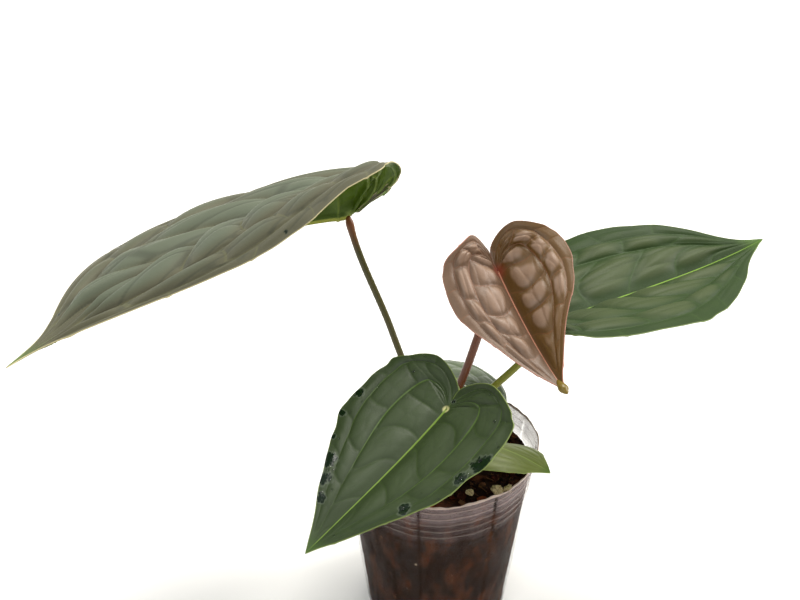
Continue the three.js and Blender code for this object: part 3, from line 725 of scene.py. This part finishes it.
def stalkMaterial(name, look):
    mat, shader = newMaterial(name, {"Roughness": look["gloss"], "Specular IOR Level": 0.4})
    along = addNode(mat, "ShaderNodeAttribute", {"attribute_name": "along"}).outputs["Fac"]
    ramp = addNode(mat, "ShaderNodeValToRGB", links={0: along})
    stops = [(0.0, look["foot"]), (0.14, look["stalk"]), (0.86, look["stalk"]), (0.97, look["neck"])]
    ramp.color_ramp.elements[0].color = hexColour(stops[0][1])
    ramp.color_ramp.elements[1].position = stops[3][0]
    ramp.color_ramp.elements[1].color = hexColour(stops[3][1])
    for place, colour in stops[1:3]:
        ramp.color_ramp.elements.new(place).color = hexColour(colour)
    place = addNode(mat, "ShaderNodeTexCoord").outputs["Object"]
    # short pale streaks and specks, about 0.5 mm wide, that run with the stalk
    stretch = addNode(mat, "ShaderNodeMapping", {"Scale": (1, 1, 0.2)}, {"Vector": place})
    specks = addNode(mat, "ShaderNodeTexNoise", {"Scale": 1 / (0.5 * mm), "Detail": 2.0},
                     {"Vector": stretch.outputs[0]})
    mask = addNode(mat, "ShaderNodeMapRange", {1: 0.55, 2: 0.8, 3: 0.0, 4: 0.25}, {0: specks.outputs["Fac"]})
    pale = addNode(mat, "ShaderNodeMix", {"data_type": "RGBA", 7: hexColour(look["neck"])},
                   {0: mask.outputs[0], 6: ramp.outputs["Color"]})
    joinTo(mat, pale.outputs[2], shader.inputs["Base Color"])
    bump = addNode(mat, "ShaderNodeBump", {"Strength": 0.25, "Distance": 0.1 * mm},
                   {"Height": specks.outputs["Fac"]})
    joinTo(mat, bump.outputs["Normal"], shader.inputs["Normal"])
    return mat


def makePetiole(name):
    look, leaf = petioles[name], leaves[name]
    point, normal, _, _ = bladeSurface(leaf, np.array([0.37]), np.zeros(1))  # just in from the notch
    top = point[0] - normal[0] * 0.3
    foot = aroundCrown(look["angle"], crown["ring"] - 0.4, crown["top"] - 5)
    sprout = aroundCrown(look["angle"], crown["ring"] + 0.3, crown["top"] + 3)
    climb = top - ([sprout] + look["via"])[-1]
    turn = 0.4 * normal[0] + 0.6 * climb / np.linalg.norm(climb)  # it meets the blade between the two
    neck = top - turn / np.linalg.norm(turn) * 6.5
    path = stalkPath([foot, sprout, *look["via"], neck, top], 91)
    run = np.concatenate([[0], np.cumsum(np.linalg.norm(np.diff(path, axis=0), axis=1))])
    # a sheathing foot, an even stalk and a swollen neck just under the blade
    toTop = run[-1] - run
    radii = look["radius"] * (1 + 0.45 * np.exp(-(run / 7) ** 2) + 0.18 * np.exp(-((toTop - 4.5) / 3.5) ** 2))
    radii *= (1 + 0.02 * np.sin(run * 1.7)) * (0.55 + 0.45 * smoothStep(toTop, 0, 3))
    bm = sweepTube(path, radii, 20, lambda s: 0.94)
    mat = stalkMaterial(f"petioleSkin_{name}", look)
    return finishPiece(addObject(bm, f"petiole_{name}_skin", [mat]), look["slot"], f"petiole_{name}")


for leafName in petioles:
    makePetiole(leafName)
makeDrops("front", {"count": 26, "seed": 5, "at": ((0.1, 0.35, 1.0), (0.78, -0.9, 0.9), (0.83, -0.9, 0.8),
                                                   (0.54, 0.88, 1.0), (0.6, 0.9, 0.8), (0.745, 0.8, 0.9))})
makeCurledTip("young")
print("petioles made")


def spunBody(profile, steps, centre=(0, 0)):  # profile in mm, spun once round a vertical axis
    bm = bmesh.new()
    rim = [bm.verts.new(((centre[0] + r) * mm, centre[1] * mm, z * mm)) for r, z in profile]
    edges = [bm.edges.new(pair) for pair in zip(rim, rim[1:])]
    axis = Vector((centre[0], centre[1], 0)) * mm
    bmesh.ops.spin(bm, geom=rim + edges, cent=axis, axis=(0, 0, 1), angle=2 * math.pi, steps=steps,
                   use_merge=True)
    bmesh.ops.remove_doubles(bm, verts=bm.verts, dist=2e-6)
    bmesh.ops.recalc_face_normals(bm, faces=bm.faces)
    return bm


stem = {
    "profile": [(0, 72), (4, 73.5), (5.6, 80), (6.2, 89), (7.2, 98), (7, 101.4), (6.2, 102)],
    "scars": (76, 80.5, 85, 90, 94.5, 98.5), "bark": "#5b5630", "scar": "#8a7a4a", "old": "#3a2c1a",
}


def makeStem():
    profile = np.array(stem["profile"], float)
    low, high = profile[0, 1], profile[-1, 1]
    zs = np.linspace(low + 0.4, high - 0.6, 60)
    radii = np.interp(zs, profile[:, 1], profile[:, 0])
    for scar in stem["scars"]:  # each fallen leaf left a ring
        radii = radii + 0.35 * np.exp(-((zs - scar) / 0.5) ** 2)
        radii = radii - 0.25 * np.exp(-((zs - scar - 1.2) / 0.6) ** 2)
    outline = [(0, low + 0.2), *zip(radii, zs), (radii[-1] - 0.8, high), (0, high + 0.2)]
    bm = spunBody(outline, 40, (crown["x"], crown["y"]))
    mat, shader = newMaterial("stemSkin", {"Roughness": 0.6})
    place = addNode(mat, "ShaderNodeTexCoord").outputs["Object"]
    blotch = addNode(mat, "ShaderNodeTexNoise", {"Scale": 1 / (3 * mm), "Detail": 4.0}, {"Vector": place})
    ramp = addNode(mat, "ShaderNodeValToRGB", links={0: blotch.outputs["Fac"]})
    ramp.color_ramp.elements[0].position, ramp.color_ramp.elements[1].position = 0.35, 0.7
    ramp.color_ramp.elements[0].color = hexColour(stem["old"])
    ramp.color_ramp.elements[1].color = hexColour(stem["scar"])
    ramp.color_ramp.elements.new(0.5).color = hexColour(stem["bark"])
    joinTo(mat, ramp.outputs["Color"], shader.inputs["Base Color"])
    bump = addNode(mat, "ShaderNodeBump", {"Strength": 0.6, "Distance": 0.3 * mm},
                   {"Height": blotch.outputs["Fac"]})
    joinTo(mat, bump.outputs["Normal"], shader.inputs["Normal"])
    finishPiece(addObject(bm, "stem_rings", [mat]), "stem_tissue", "stem")


sheaths = {"angles": (130, 205), "lengths": (19, 23), "deep": "#6a4426", "pale": "#b08a58"}


def makeSheaths():
    mat, shader = newMaterial("dryPaperySheath", {"Roughness": 0.75})
    flat = addNode(mat, "ShaderNodeAttribute", {"attribute_name": "flat"}).outputs["Vector"]
    # fibres run lengthwise, about 0.35 mm apart
    stretch = addNode(mat, "ShaderNodeMapping", {"Scale": (0.12, 1, 1)}, {"Vector": flat})
    fibre = addNode(mat, "ShaderNodeTexNoise", {"Scale": 1 / 0.35, "Detail": 3.0},
                    {"Vector": stretch.outputs[0]})
    ramp = addNode(mat, "ShaderNodeValToRGB", links={0: fibre.outputs["Fac"]})
    ramp.color_ramp.elements[0].position, ramp.color_ramp.elements[1].position = 0.3, 0.7
    ramp.color_ramp.elements[0].color = hexColour(sheaths["deep"])
    ramp.color_ramp.elements[1].color = hexColour(sheaths["pale"])
    joinTo(mat, ramp.outputs["Color"], shader.inputs["Base Color"])
    bump = addNode(mat, "ShaderNodeBump", {"Strength": 0.7, "Distance": 0.2 * mm},
                   {"Height": fibre.outputs["Fac"]})
    joinTo(mat, bump.outputs["Normal"], shader.inputs["Normal"])
    for i, (angle, length) in enumerate(zip(sheaths["angles"], sheaths["lengths"])):
        sheath = {"length": length, "lobe": 0.1, "width": 0.5, "belly": 0.3, "gap": 0.5, "tail": 0.12,
                  "halves": (1, 1), "fold": 0, "tipFold": 0, "lean": 0, "curl": 50, "curlLean": 0,
                  "lift": 0, "bend": 10, "sweep": 0, "twist": 0, "ripple": 0.01,
                  "heading": angle, "pitch": 76, "roll": 0,
                  "at": aroundCrown(angle, 8.1, crown["top"] - 3)}
        mesh, t, v = flatGrid(70, 40)
        points, normals, alongMm, acrossMm = bladeSurface(sheath, t, v)
        frayed = 0.35 * np.sin(9 * v + i) * t ** 3 + 0.12 * np.sin(31 * v) + 0.25 * np.sin(5 * t + 4 * v)
        writePoints(mesh, (points + normals * (0.2 + frayed * smoothStep(t, 0, 0.2))[:, None]) * mm)
        addVectors(mesh, "flat", (alongMm, np.sign(v) * acrossMm, np.zeros_like(t)))
        bm = bmesh.new()
        bm.from_mesh(mesh)
        bpy.data.meshes.remove(mesh)
        bmesh.ops.remove_doubles(bm, verts=bm.verts, dist=2e-6)
        sheet = addObject(bm, f"sheath_{i + 1}", [mat])
        wall = sheet.modifiers.new("wall", "SOLIDIFY")
        wall.thickness, wall.offset = 0.35 * mm, -1
        finishPiece(sheet, "cataphyll", f"cataphyll_{i + 1}")


roots = {"angles": (20, 110, 205, 290), "starts": (84, 80, 83, 79), "reach": (34, 31, 35, 33),
         "ends": (38, 48, 34, 44), "radius": 1.3, "skin": "#cdbb93", "soiled": "#8d7650"}


def makeRoots():
    mat, shader = newMaterial("corkyRootSkin", {"Roughness": 0.8})
    place = addNode(mat, "ShaderNodeTexCoord").outputs["Object"]
    grain = addNode(mat, "ShaderNodeTexNoise", {"Scale": 1 / (1.5 * mm), "Detail": 4.0}, {"Vector": place})
    tone = addNode(mat, "ShaderNodeMix", {"data_type": "RGBA", 6: hexColour(roots["soiled"]),
                                          7: hexColour(roots["skin"])}, {0: grain.outputs["Fac"]})
    joinTo(mat, tone.outputs[2], shader.inputs["Base Color"])
    for i, angle in enumerate(roots["angles"]):
        start, reach, end = roots["starts"][i], roots["reach"][i], roots["ends"][i]
        stops = [aroundCrown(angle, 7.8, start), aroundCrown(angle, 12.8, start - 2),
                 aroundCrown(angle + 8, (7.8 + reach) / 2, (start + end) / 2 + 6),
                 aroundCrown(angle + 2, reach, end)]
        share = np.linspace(0, 1, 49)
        wiggle = np.stack([np.sin(17 * share + i), np.cos(13 * share + i), 0 * share], 1) * 0.25
        radii = roots["radius"] * (1 - 0.35 * share ** 2 + 0.05 * np.sin(40 * share))
        bm = sweepTube(splinePoint(stops, share) + wiggle, radii, 12)
        finishPiece(addObject(bm, f"root_{i + 1}_skin", [mat]), "root", f"root_{i + 1}")


makeStem()
makeSheaths()
makeRoots()
print("stem, sheaths and roots made")


pot = {
    "height": 104, "rimRadius": 50, "baseRadius": 38, "wall": 0.8, "lipProud": 0.9, "lipHeight": 1.8,
    "rings": 5, "ringPitch": 4.3, "ringProud": 0.45, "ringHeight": 1.6,
    "holes": 6, "holeRadius": 4, "holeCircle": 22, "steps": 360, "ribWidth": 0.75,
    "ribs": ((-57, 1), (-103, 0.7), (-122, 0.3), (-141, 0.4), (-20, 0.5), (24, 0.8), (70, 0.5),
             (117, 0.9), (161, 0.5), (-165, 0.7)),
    "stepHeight": 76, "mist": (88.0, 96.0), "wallShadeBand": (66.0, 94.0), "mistAlpha": 0.28,
    "wallShade": "#33231c", "plastic": "#8e7c7b", "rimTintAndCrestHighlight": "#b7a498", "ribShade": "#1e1512",
}


def wallRadius(z):
    return pot["baseRadius"] + (pot["rimRadius"] - pot["baseRadius"]) * z / pot["height"]


def potProfile():
    profile = [(pot["baseRadius"] - 1.5, 0), (wallRadius(0.4) - 0.6, 0.25), (wallRadius(1.4), 1.4)]
    ringZs = [pot["height"] - i * pot["ringPitch"] - pot["ringHeight"] for i in range(pot["rings"], 0, -1)]
    profile += [(wallRadius(z), z) for z in np.linspace(5, pot["stepHeight"] - 1.5, 16)]
    profile += [(wallRadius(z), z) for z in pot["stepHeight"] + np.array([-0.6, -0.3, 0, 0.3, 0.6, 1.5])]
    for z in ringZs:
        for up, out in ((0, 0), (0.35, 0.8), (0.7, 1), (1.0, 0.9), (1.3, 0.3), (1.6, 0)):
            profile.append((wallRadius(z + up) + out * pot["ringProud"], z + up))
    lip = pot["height"] - pot["lipHeight"]
    profile += [(wallRadius(lip - 0.5), lip - 0.5), (wallRadius(lip) + 0.6 * pot["lipProud"], lip + 0.1),
                (wallRadius(lip) + pot["lipProud"], lip + 0.5),
                (pot["rimRadius"] + pot["lipProud"], pot["height"] - 0.6),
                (pot["rimRadius"] + 0.6 * pot["lipProud"], pot["height"] - 0.1)]
    return profile


def plasticMaterial():
    mat, shader = newMaterial("softClearPolypropylene", {"Roughness": 0.28, "IOR": 1.49, "Alpha": 0.2,
                                                          "Specular IOR Level": 0.35})
    mat.surface_render_method = "BLENDED"
    # the wall carries (thickness, with painted highlight lines on the ring crests; rib; height above the
    # floor in mm)
    plastic = addNode(mat, "ShaderNodeAttribute", {"attribute_name": "plastic"})
    parts = addNode(mat, "ShaderNodeSeparateXYZ", links={0: plastic.outputs["Vector"]})
    place = addNode(mat, "ShaderNodeTexCoord").outputs["Object"]
    # dried splashes and haze inside the wall, in patches 9 mm across drawn out downwards
    drawn = addNode(mat, "ShaderNodeMapping", {"Scale": (1, 1, 0.4)}, {"Vector": place})
    haze = addNode(mat, "ShaderNodeTexNoise", {"Scale": 1 / (9 * mm), "Detail": 3.0},
                   {"Vector": drawn.outputs[0]})
    hazeShare = addNode(mat, "ShaderNodeMapRange", {1: 0.35, 2: 0.7, 3: 0.0, 4: 0.12},
                        {0: haze.outputs["Fac"]})
    alpha = addNode(mat, "ShaderNodeMapRange", {1: 0.0, 2: 1.0, 3: 0.06, 4: 0.6}, {0: parts.outputs[0]})
    alpha = addNode(mat, "ShaderNodeMath", {"operation": "ADD"},
                    {0: alpha.outputs[0], 1: hazeShare.outputs[0]})
    # water drops out of the damp air onto the bare wall above the mix and mists it
    mist = addNode(mat, "ShaderNodeMapRange",
                   {"interpolation_type": "SMOOTHSTEP", 1: pot["mist"][0], 2: pot["mist"][1],
                    4: pot["mistAlpha"]}, {0: parts.outputs[2]})
    alpha = addNode(mat, "ShaderNodeMath", {"operation": "ADD"},
                    {0: alpha.outputs[0], 1: mist.outputs[0]})
    seam = addNode(mat, "ShaderNodeMapRange", {1: 0.0, 2: 1.0, 3: 1.0, 4: 0.1}, {0: parts.outputs[1]})
    alpha = addNode(mat, "ShaderNodeMath", {"operation": "MULTIPLY", "use_clamp": True},
                    {0: alpha.outputs[0], 1: seam.outputs[0]})
    joinTo(mat, alpha.outputs[0], shader.inputs["Alpha"])
    # the wall is painted darker below the mix's top: painted shade, where the dark mix behind lets little
    # light come through
    wallShadeBand = addNode(mat, "ShaderNodeMapRange",
                    {"interpolation_type": "SMOOTHSTEP", 1: pot["wallShadeBand"][0], 2: pot["wallShadeBand"][1]},
                    {0: parts.outputs[2]})
    tint = addNode(mat, "ShaderNodeMix", {"data_type": "RGBA", 6: hexColour(pot["wallShade"]),
                                          7: hexColour(pot["plastic"])}, {0: wallShadeBand.outputs[0]})
    # the thick lip is a lighter plastic; the same tint on the thin lines at the ring crests is a painted
    # highlight
    tint = addNode(mat, "ShaderNodeMix", {"data_type": "RGBA", 7: hexColour(pot["rimTintAndCrestHighlight"])},
                   {0: parts.outputs[0], 6: tint.outputs[2]})
    # the creases in the soft wall are painted darker: painted shade along them
    tint = addNode(mat, "ShaderNodeMix", {"data_type": "RGBA", 7: hexColour(pot["ribShade"])},
                   {0: parts.outputs[1], 6: tint.outputs[2]})
    joinTo(mat, tint.outputs[2], shader.inputs["Base Color"])
    return mat


def makePot():
    bm = spunBody(potProfile(), pot["steps"])
    floorRing = [e for e in bm.edges if e.is_boundary and all(v.co.z < 0.1 * mm for v in e.verts)]
    holes = []
    for k in range(pot["holes"]):
        turn = 2 * math.pi * k / pot["holes"]
        spot = Vector((math.cos(turn), math.sin(turn), 0)) * pot["holeCircle"] * mm
        hole = bmesh.ops.create_circle(bm, segments=32, radius=pot["holeRadius"] * mm,
                                       matrix=Matrix.Translation(spot))["verts"]
        holes += list({e for v in hole for e in v.link_edges})
    bmesh.ops.triangle_fill(bm, edges=floorRing + holes, use_beauty=True, normal=(0, 0, -1))
    bmesh.ops.remove_doubles(bm, verts=bm.verts, dist=2e-6)
    bmesh.ops.recalc_face_normals(bm, faces=bm.faces)
    wallFace = max(bm.faces, key=lambda f: f.calc_center_median().x if f.calc_center_median().z < 0.05 else 0)
    if wallFace.normal.x < 0:
        bmesh.ops.reverse_faces(bm, faces=bm.faces)
    shell = addObject(bm, "pot_shell", [plasticMaterial()])
    points = readPoints(shell.data) / mm
    turn, z = np.arctan2(points[:, 1], points[:, 0]), points[:, 2]
    high = smoothStep(z, 30, pot["height"]) ** 2
    # soft plastic: the rim wavers by half a millimetre and the wall dents in slightly where it is held
    dent = high * (0.5 * np.sin(3 * turn + 1) + 0.35 * np.sin(7 * turn + 0.4) + 0.14 * np.sin(19 * turn))
    dent += 0.25 * np.sin(2 * turn + z / 16) * smoothStep(z, 8, 30)
    ribs = np.zeros_like(turn)
    for angle, depth in pot["ribs"]:
        swing = (turn - math.radians(angle) + math.pi) % (2 * math.pi) - math.pi
        ribs += depth * np.exp(-(swing * wallRadius(z) / pot["ribWidth"]) ** 2)
    lipBase = pot["height"] - pot["lipHeight"]
    ribs *= smoothStep(z, 2, 8) * smoothStep(lipBase - 0.2 - z, 0, 3)
    ribs += 0.5 * np.exp(-((z - pot["stepHeight"]) / 0.5) ** 2)
    shape = np.hypot(points[:, 0], points[:, 1])
    grown = (shape + (dent - 0.2 * ribs) * (z > 0.5)) / np.maximum(shape, 0.01)
    points[:, 0] *= grown
    points[:, 1] *= grown
    nick = 0.35 * np.sin(11 * turn + 2) + 0.25 * np.sin(23 * turn) + 0.2 * np.sin(47 * turn + 1)
    points[:, 2] += nick * smoothStep(z, lipBase - 0.2, pot["height"])
    writePoints(shell.data, points * mm)
    firstRing = pot["height"] - pot["ringHeight"] + 0.9
    ringZs = [firstRing - (i + 1) * pot["ringPitch"] for i in range(pot["rings"])]
    # a thin line on each ring's crest is drawn lighter and less clear: painted highlight
    crestHighlight = sum(np.exp(-((z - ringZ) / 0.25) ** 2) for ringZ in ringZs)
    lip = smoothStep(z, lipBase, lipBase + 0.6)
    foot = 0.3 * smoothStep(2 - z, 0, 2)
    addVectors(shell.data, "plastic", (np.clip(0.6 * crestHighlight + lip + foot, 0, 1), ribs, z))
    wall = shell.modifiers.new("wall", "SOLIDIFY")
    wall.thickness, wall.offset = 0.35 * mm, -1
    finishPiece(shell, "pot_plastic", "clear_pot")


makePot()
print("pot made")


mix = {
    "topCentre": 94.2, "topEdge": 92, "clear": 1.0, "bottom": 1.5,
    "peat": "#0e0603", "damp": "#2a170b", "rust": "#5c341b", "fibre": "#7d5c3c",
    "crumbs": 620, "wallCrumbs": 520, "threads": 110, "spread": 46.4, "seed": 7,
}


def mixTop(r):
    edge = wallRadius(mix["topEdge"]) - 1.1
    return mix["topCentre"] - (mix["topCentre"] - mix["topEdge"]) * (r / edge) ** 2


def peatMaterial(name, deep, light, rust, relief=0.5):
    mat, shader = newMaterial(name, {"Roughness": 0.9, "Specular IOR Level": 0.12})
    place = addNode(mat, "ShaderNodeTexCoord").outputs["Object"]
    clump = addNode(mat, "ShaderNodeTexNoise",
                    {"Scale": 1 / (6 * mm), "Detail": 6.0, "Roughness": 0.7}, {"Vector": place})
    tone = addNode(mat, "ShaderNodeMix", {"data_type": "RGBA", 6: hexColour(deep), 7: hexColour(light)},
                   {0: clump.outputs["Fac"]})
    # decayed bark lies in rusty patches that the watering has drawn out downwards
    drawn = addNode(mat, "ShaderNodeMapping", {"Location": (0.3, 0.1, 0), "Scale": (1, 1, 0.45)},
                    {"Vector": place})
    patch = addNode(mat, "ShaderNodeTexNoise",
                    {"Scale": 1 / (9 * mm), "Detail": 7.0, "Roughness": 0.75}, {"Vector": drawn.outputs[0]})
    mask = addNode(mat, "ShaderNodeMapRange",
                   {"interpolation_type": "SMOOTHSTEP", 1: 0.46, 2: 0.68, 3: 0.0, 4: 0.75},
                   {0: patch.outputs["Fac"]})
    tone = addNode(mat, "ShaderNodeMix", {"data_type": "RGBA", 7: hexColour(rust)},
                   {0: mask.outputs[0], 6: tone.outputs[2]})
    grain = addNode(mat, "ShaderNodeTexNoise", {"Scale": 1 / (1.6 * mm), "Detail": 3.0}, {"Vector": place})
    speck = addNode(mat, "ShaderNodeMapRange", {1: 0.68, 2: 0.74, 3: 0.0, 4: 0.7}, {0: grain.outputs["Fac"]})
    tone = addNode(mat, "ShaderNodeMix", {"data_type": "RGBA", 7: hexColour(mix["fibre"])},
                   {0: speck.outputs[0], 6: tone.outputs[2]})
    joinTo(mat, tone.outputs[2], shader.inputs["Base Color"])
    bump = addNode(mat, "ShaderNodeBump", {"Strength": relief, "Distance": 0.4 * mm},
                   {"Height": grain.outputs["Fac"]})
    joinTo(mat, bump.outputs["Normal"], shader.inputs["Normal"])
    return mat


def makeMix():
    edge = wallRadius(mix["topEdge"]) - mix["clear"] - 0.2
    profile = [(0, mix["bottom"]), (wallRadius(1.5) - mix["clear"] - 0.5, mix["bottom"])]
    profile += [(wallRadius(z) - mix["clear"], z) for z in np.linspace(2.5, mix["topEdge"] - 1.2, 56)]
    profile += [(r, float(mixTop(r))) for r in np.linspace(edge, 0, 40)]
    peat = peatMaterial("dampPeatAndBark", mix["peat"], mix["damp"], mix["rust"], 0.15)
    body = addObject(spunBody(profile, 220), "mix_body", [peat])
    points = readPoints(body.data) / mm
    for point in points:
        r = math.hypot(point[0], point[1])
        rough = noise.fractal(Vector(point) / 6, 0.9, 2.0, 2)
        if point[2] > mixTop(r) - 0.6 and r < edge:
            point[2] += 1.3 * rough - 0.5
        elif point[2] > 3:
            point[:2] *= 1 - 0.012 * abs(rough) - 0.004
    writePoints(body.data, points * mm)
    finishPiece(body, "potting_mix", "potting_mix")


def scatter(bm, matrix, kind, material, rng):  # one small lump, chip or needle with its corners knocked about
    if kind == "crumb":
        made = bmesh.ops.create_icosphere(bm, subdivisions=1, radius=1, matrix=Matrix())["verts"]
    elif kind == "chip":
        made = bmesh.ops.create_cube(bm, size=1.7, matrix=Matrix.Diagonal((1, 0.62, 0.28, 1)))["verts"]
    else:
        made = bmesh.ops.create_cone(bm, cap_ends=True, segments=5, radius1=0.12, radius2=0.07, depth=2,
                                     matrix=Matrix())["verts"]
    for vert in made:
        vert.co += Vector(rng.uniform(-0.22, 0.22, 3)) * (0.3 if kind == "needle" else 1)
    bmesh.ops.transform(bm, matrix=matrix, verts=made)
    for face in {f for v in made for f in v.link_faces}:
        face.material_index = material


def makeLitter():
    rng = np.random.default_rng(mix["seed"])
    mats = [peatMaterial("peatCrumb", "#0b0503", "#1c0f08", "#43200f"),
            peatMaterial("compostedBark", "#190a05", "#351509", "#5c2610"),
            peatMaterial("barkFibre", "#3a2416", "#6e4f33", "#6b4020"),
            peatMaterial("grit", "#8f7f66", "#c2b394", "#a98f66")]
    bm = bmesh.new()
    for k in range(mix["crumbs"] + mix["threads"]):
        thread = k >= mix["crumbs"]
        r, turn = mix["spread"] * math.sqrt(rng.random()), rng.uniform(0, 2 * math.pi)
        x, y = r * math.cos(turn), r * math.sin(turn)
        if math.hypot(x - crown["x"], y - crown["y"]) < 9:
            continue
        kind = "needle" if thread else ("chip" if rng.random() < 0.35 else "crumb")
        size = rng.uniform(0.5, 1.9) if kind != "needle" else rng.uniform(1, 3.2)
        if rng.random() < 0.1:
            size *= 1.5
        material = 2 if thread else int(rng.choice([0, 0, 1, 1, 2, 3], p=[0.3, 0.2, 0.25, 0.15, 0.07, 0.03]))
        if material == 3:
            size = min(size, 1.0)
        flat = Matrix.Rotation(rng.uniform(-0.7, 0.7), 4, "X") @ Matrix.Rotation(rng.uniform(0, 6.3), 4, "Z")
        if kind == "needle":
            flat = Matrix.Rotation(rng.uniform(0, 6.3), 4, "Z")
            flat = flat @ Matrix.Rotation(rng.uniform(1.2, 1.9), 4, "Y")
        r = min(r, mix["spread"] + 0.4 - size)
        spot = Vector((r * math.cos(turn), r * math.sin(turn), float(mixTop(r)) + 0.25 * size - 0.3)) * mm
        scatter(bm, Matrix.Translation(spot) @ flat @ Matrix.Scale(size * mm, 4), kind, material, rng)
    for _ in range(mix["wallCrumbs"]):  # pressed against the inside of the clear wall
        z, turn = rng.uniform(3, mix["topEdge"] - 1), rng.uniform(0, 2 * math.pi)
        size = rng.uniform(0.5, 1.7)
        kind = "chip" if rng.random() < 0.5 else "crumb"
        material = int(rng.choice([0, 1, 2, 3], p=[0.52, 0.32, 0.13, 0.03]))
        if material == 3:
            size = min(size, 0.8)
        r = wallRadius(z) - 1.15 - 0.32 * size
        flat = Matrix.Rotation(turn, 4, "Z") @ Matrix.Rotation(math.pi / 2, 4, "Y")
        flat = flat @ Matrix.Rotation(rng.uniform(0, 6.3), 4, "Z") @ Matrix.Diagonal((1, 1, 0.35, 1))
        spot = Vector((r * math.cos(turn), r * math.sin(turn), z)) * mm
        scatter(bm, Matrix.Translation(spot) @ flat @ Matrix.Scale(size * mm, 4), kind, material, rng)
    finishPiece(addObject(bm, "mix_litter", mats, smooth=False), "potting_mix")


chips = {"at": ((38, -10, 5.5), (21, -37, 4.5), (-8, -37, 5), (-33, -18, 6), (-30, 19, 5), (27, 30, 5.5)),
         "thick": 2.4, "deep": "#3a190c", "light": "#6b3117", "rust": "#934a22"}
lumps = {"at": ((28, -28.5, 3), (33.5, -27, 2.3), (14.5, -30, 2.1), (-22, 27, 2.6)),
         "stone": "#dccb9e", "pit": "#8c7242"}


def makeChips():
    mat = peatMaterial("pineBark", chips["deep"], chips["light"], chips["rust"])
    for i, (x, y, size) in enumerate(chips["at"]):
        bm = bmesh.new()
        bmesh.ops.create_cube(bm, size=2)
        bmesh.ops.subdivide_edges(bm, edges=bm.edges, cuts=9, use_grid_fill=True)
        lift = mixTop(math.hypot(x, y) - size) + 0.3 + chips["thick"] / 2
        place = Matrix.Translation(Vector((x, y, lift)) * mm) @ Matrix.Rotation(0.7 + i * 1.1, 4, "Z")
        for vert in bm.verts:
            p = vert.co
            rim = 1 - 0.25 * abs(p.y) ** 3 * (0.6 + 0.4 * math.sin(3 * p.x + i))
            shape = Vector((p.x * (1 - 0.3 * abs(p.y) ** 2), p.y * 0.62 * rim, p.z))
            crag = noise.fractal(Vector((p.x * 1.3, p.y * 4, p.z * 2 + 10 * i)), 0.7, 2.1, 4)
            thick = chips["thick"] / 2 * (0.8 + 0.35 * crag) * (1 - 0.4 * abs(p.x) ** 4)
            vert.co = Vector((shape.x * size * (1 + 0.06 * crag), shape.y * size * (1 + 0.12 * crag),
                              shape.z * thick)) * mm
        bmesh.ops.transform(bm, matrix=place, verts=bm.verts)
        finishPiece(addObject(bm, f"chip_{i + 1}", [mat], smooth=False), "bark", f"bark_chip_{i + 1}")


def makeLumps():
    mat, shader = newMaterial("pumiceStone", {"Roughness": 0.9, "Specular IOR Level": 0.3})
    place = addNode(mat, "ShaderNodeTexCoord").outputs["Object"]
    pores = addNode(mat, "ShaderNodeTexNoise", {"Scale": 1 / (0.7 * mm), "Detail": 4.0}, {"Vector": place})
    ramp = addNode(mat, "ShaderNodeValToRGB", links={0: pores.outputs["Fac"]})
    ramp.color_ramp.elements[0].position, ramp.color_ramp.elements[1].position = 0.32, 0.55
    ramp.color_ramp.elements[0].color = hexColour(lumps["pit"])
    ramp.color_ramp.elements[1].color = hexColour(lumps["stone"])
    joinTo(mat, ramp.outputs["Color"], shader.inputs["Base Color"])
    bump = addNode(mat, "ShaderNodeBump", {"Strength": 0.9, "Distance": 0.3 * mm},
                   {"Height": pores.outputs["Fac"]})
    joinTo(mat, bump.outputs["Normal"], shader.inputs["Normal"])
    for i, (x, y, size) in enumerate(lumps["at"]):
        bm = bmesh.new()
        bmesh.ops.create_icosphere(bm, subdivisions=4, radius=1)
        lift = mixTop(math.hypot(x, y) - size) + 0.8 * size + 0.3
        for vert in bm.verts:
            crag = noise.fractal(vert.co * 0.9 + Vector((9 * i, 0, 0)), 0.7, 2.1, 4)
            p = Vector((vert.co.x * 1.15, vert.co.y * 0.95, vert.co.z * 0.8))
            p = Matrix.Rotation(i * 1.3, 3, "Z") @ p
            vert.co = (p * size * (0.85 + 0.4 * crag) + Vector((x, y, lift))) * mm
        finishPiece(addObject(bm, f"lump_{i + 1}", [mat]), "pumice", f"pumice_{i + 1}")


makeMix()
makeLitter()
makeChips()
makeLumps()
print("mix, litter, chips and pumice made")
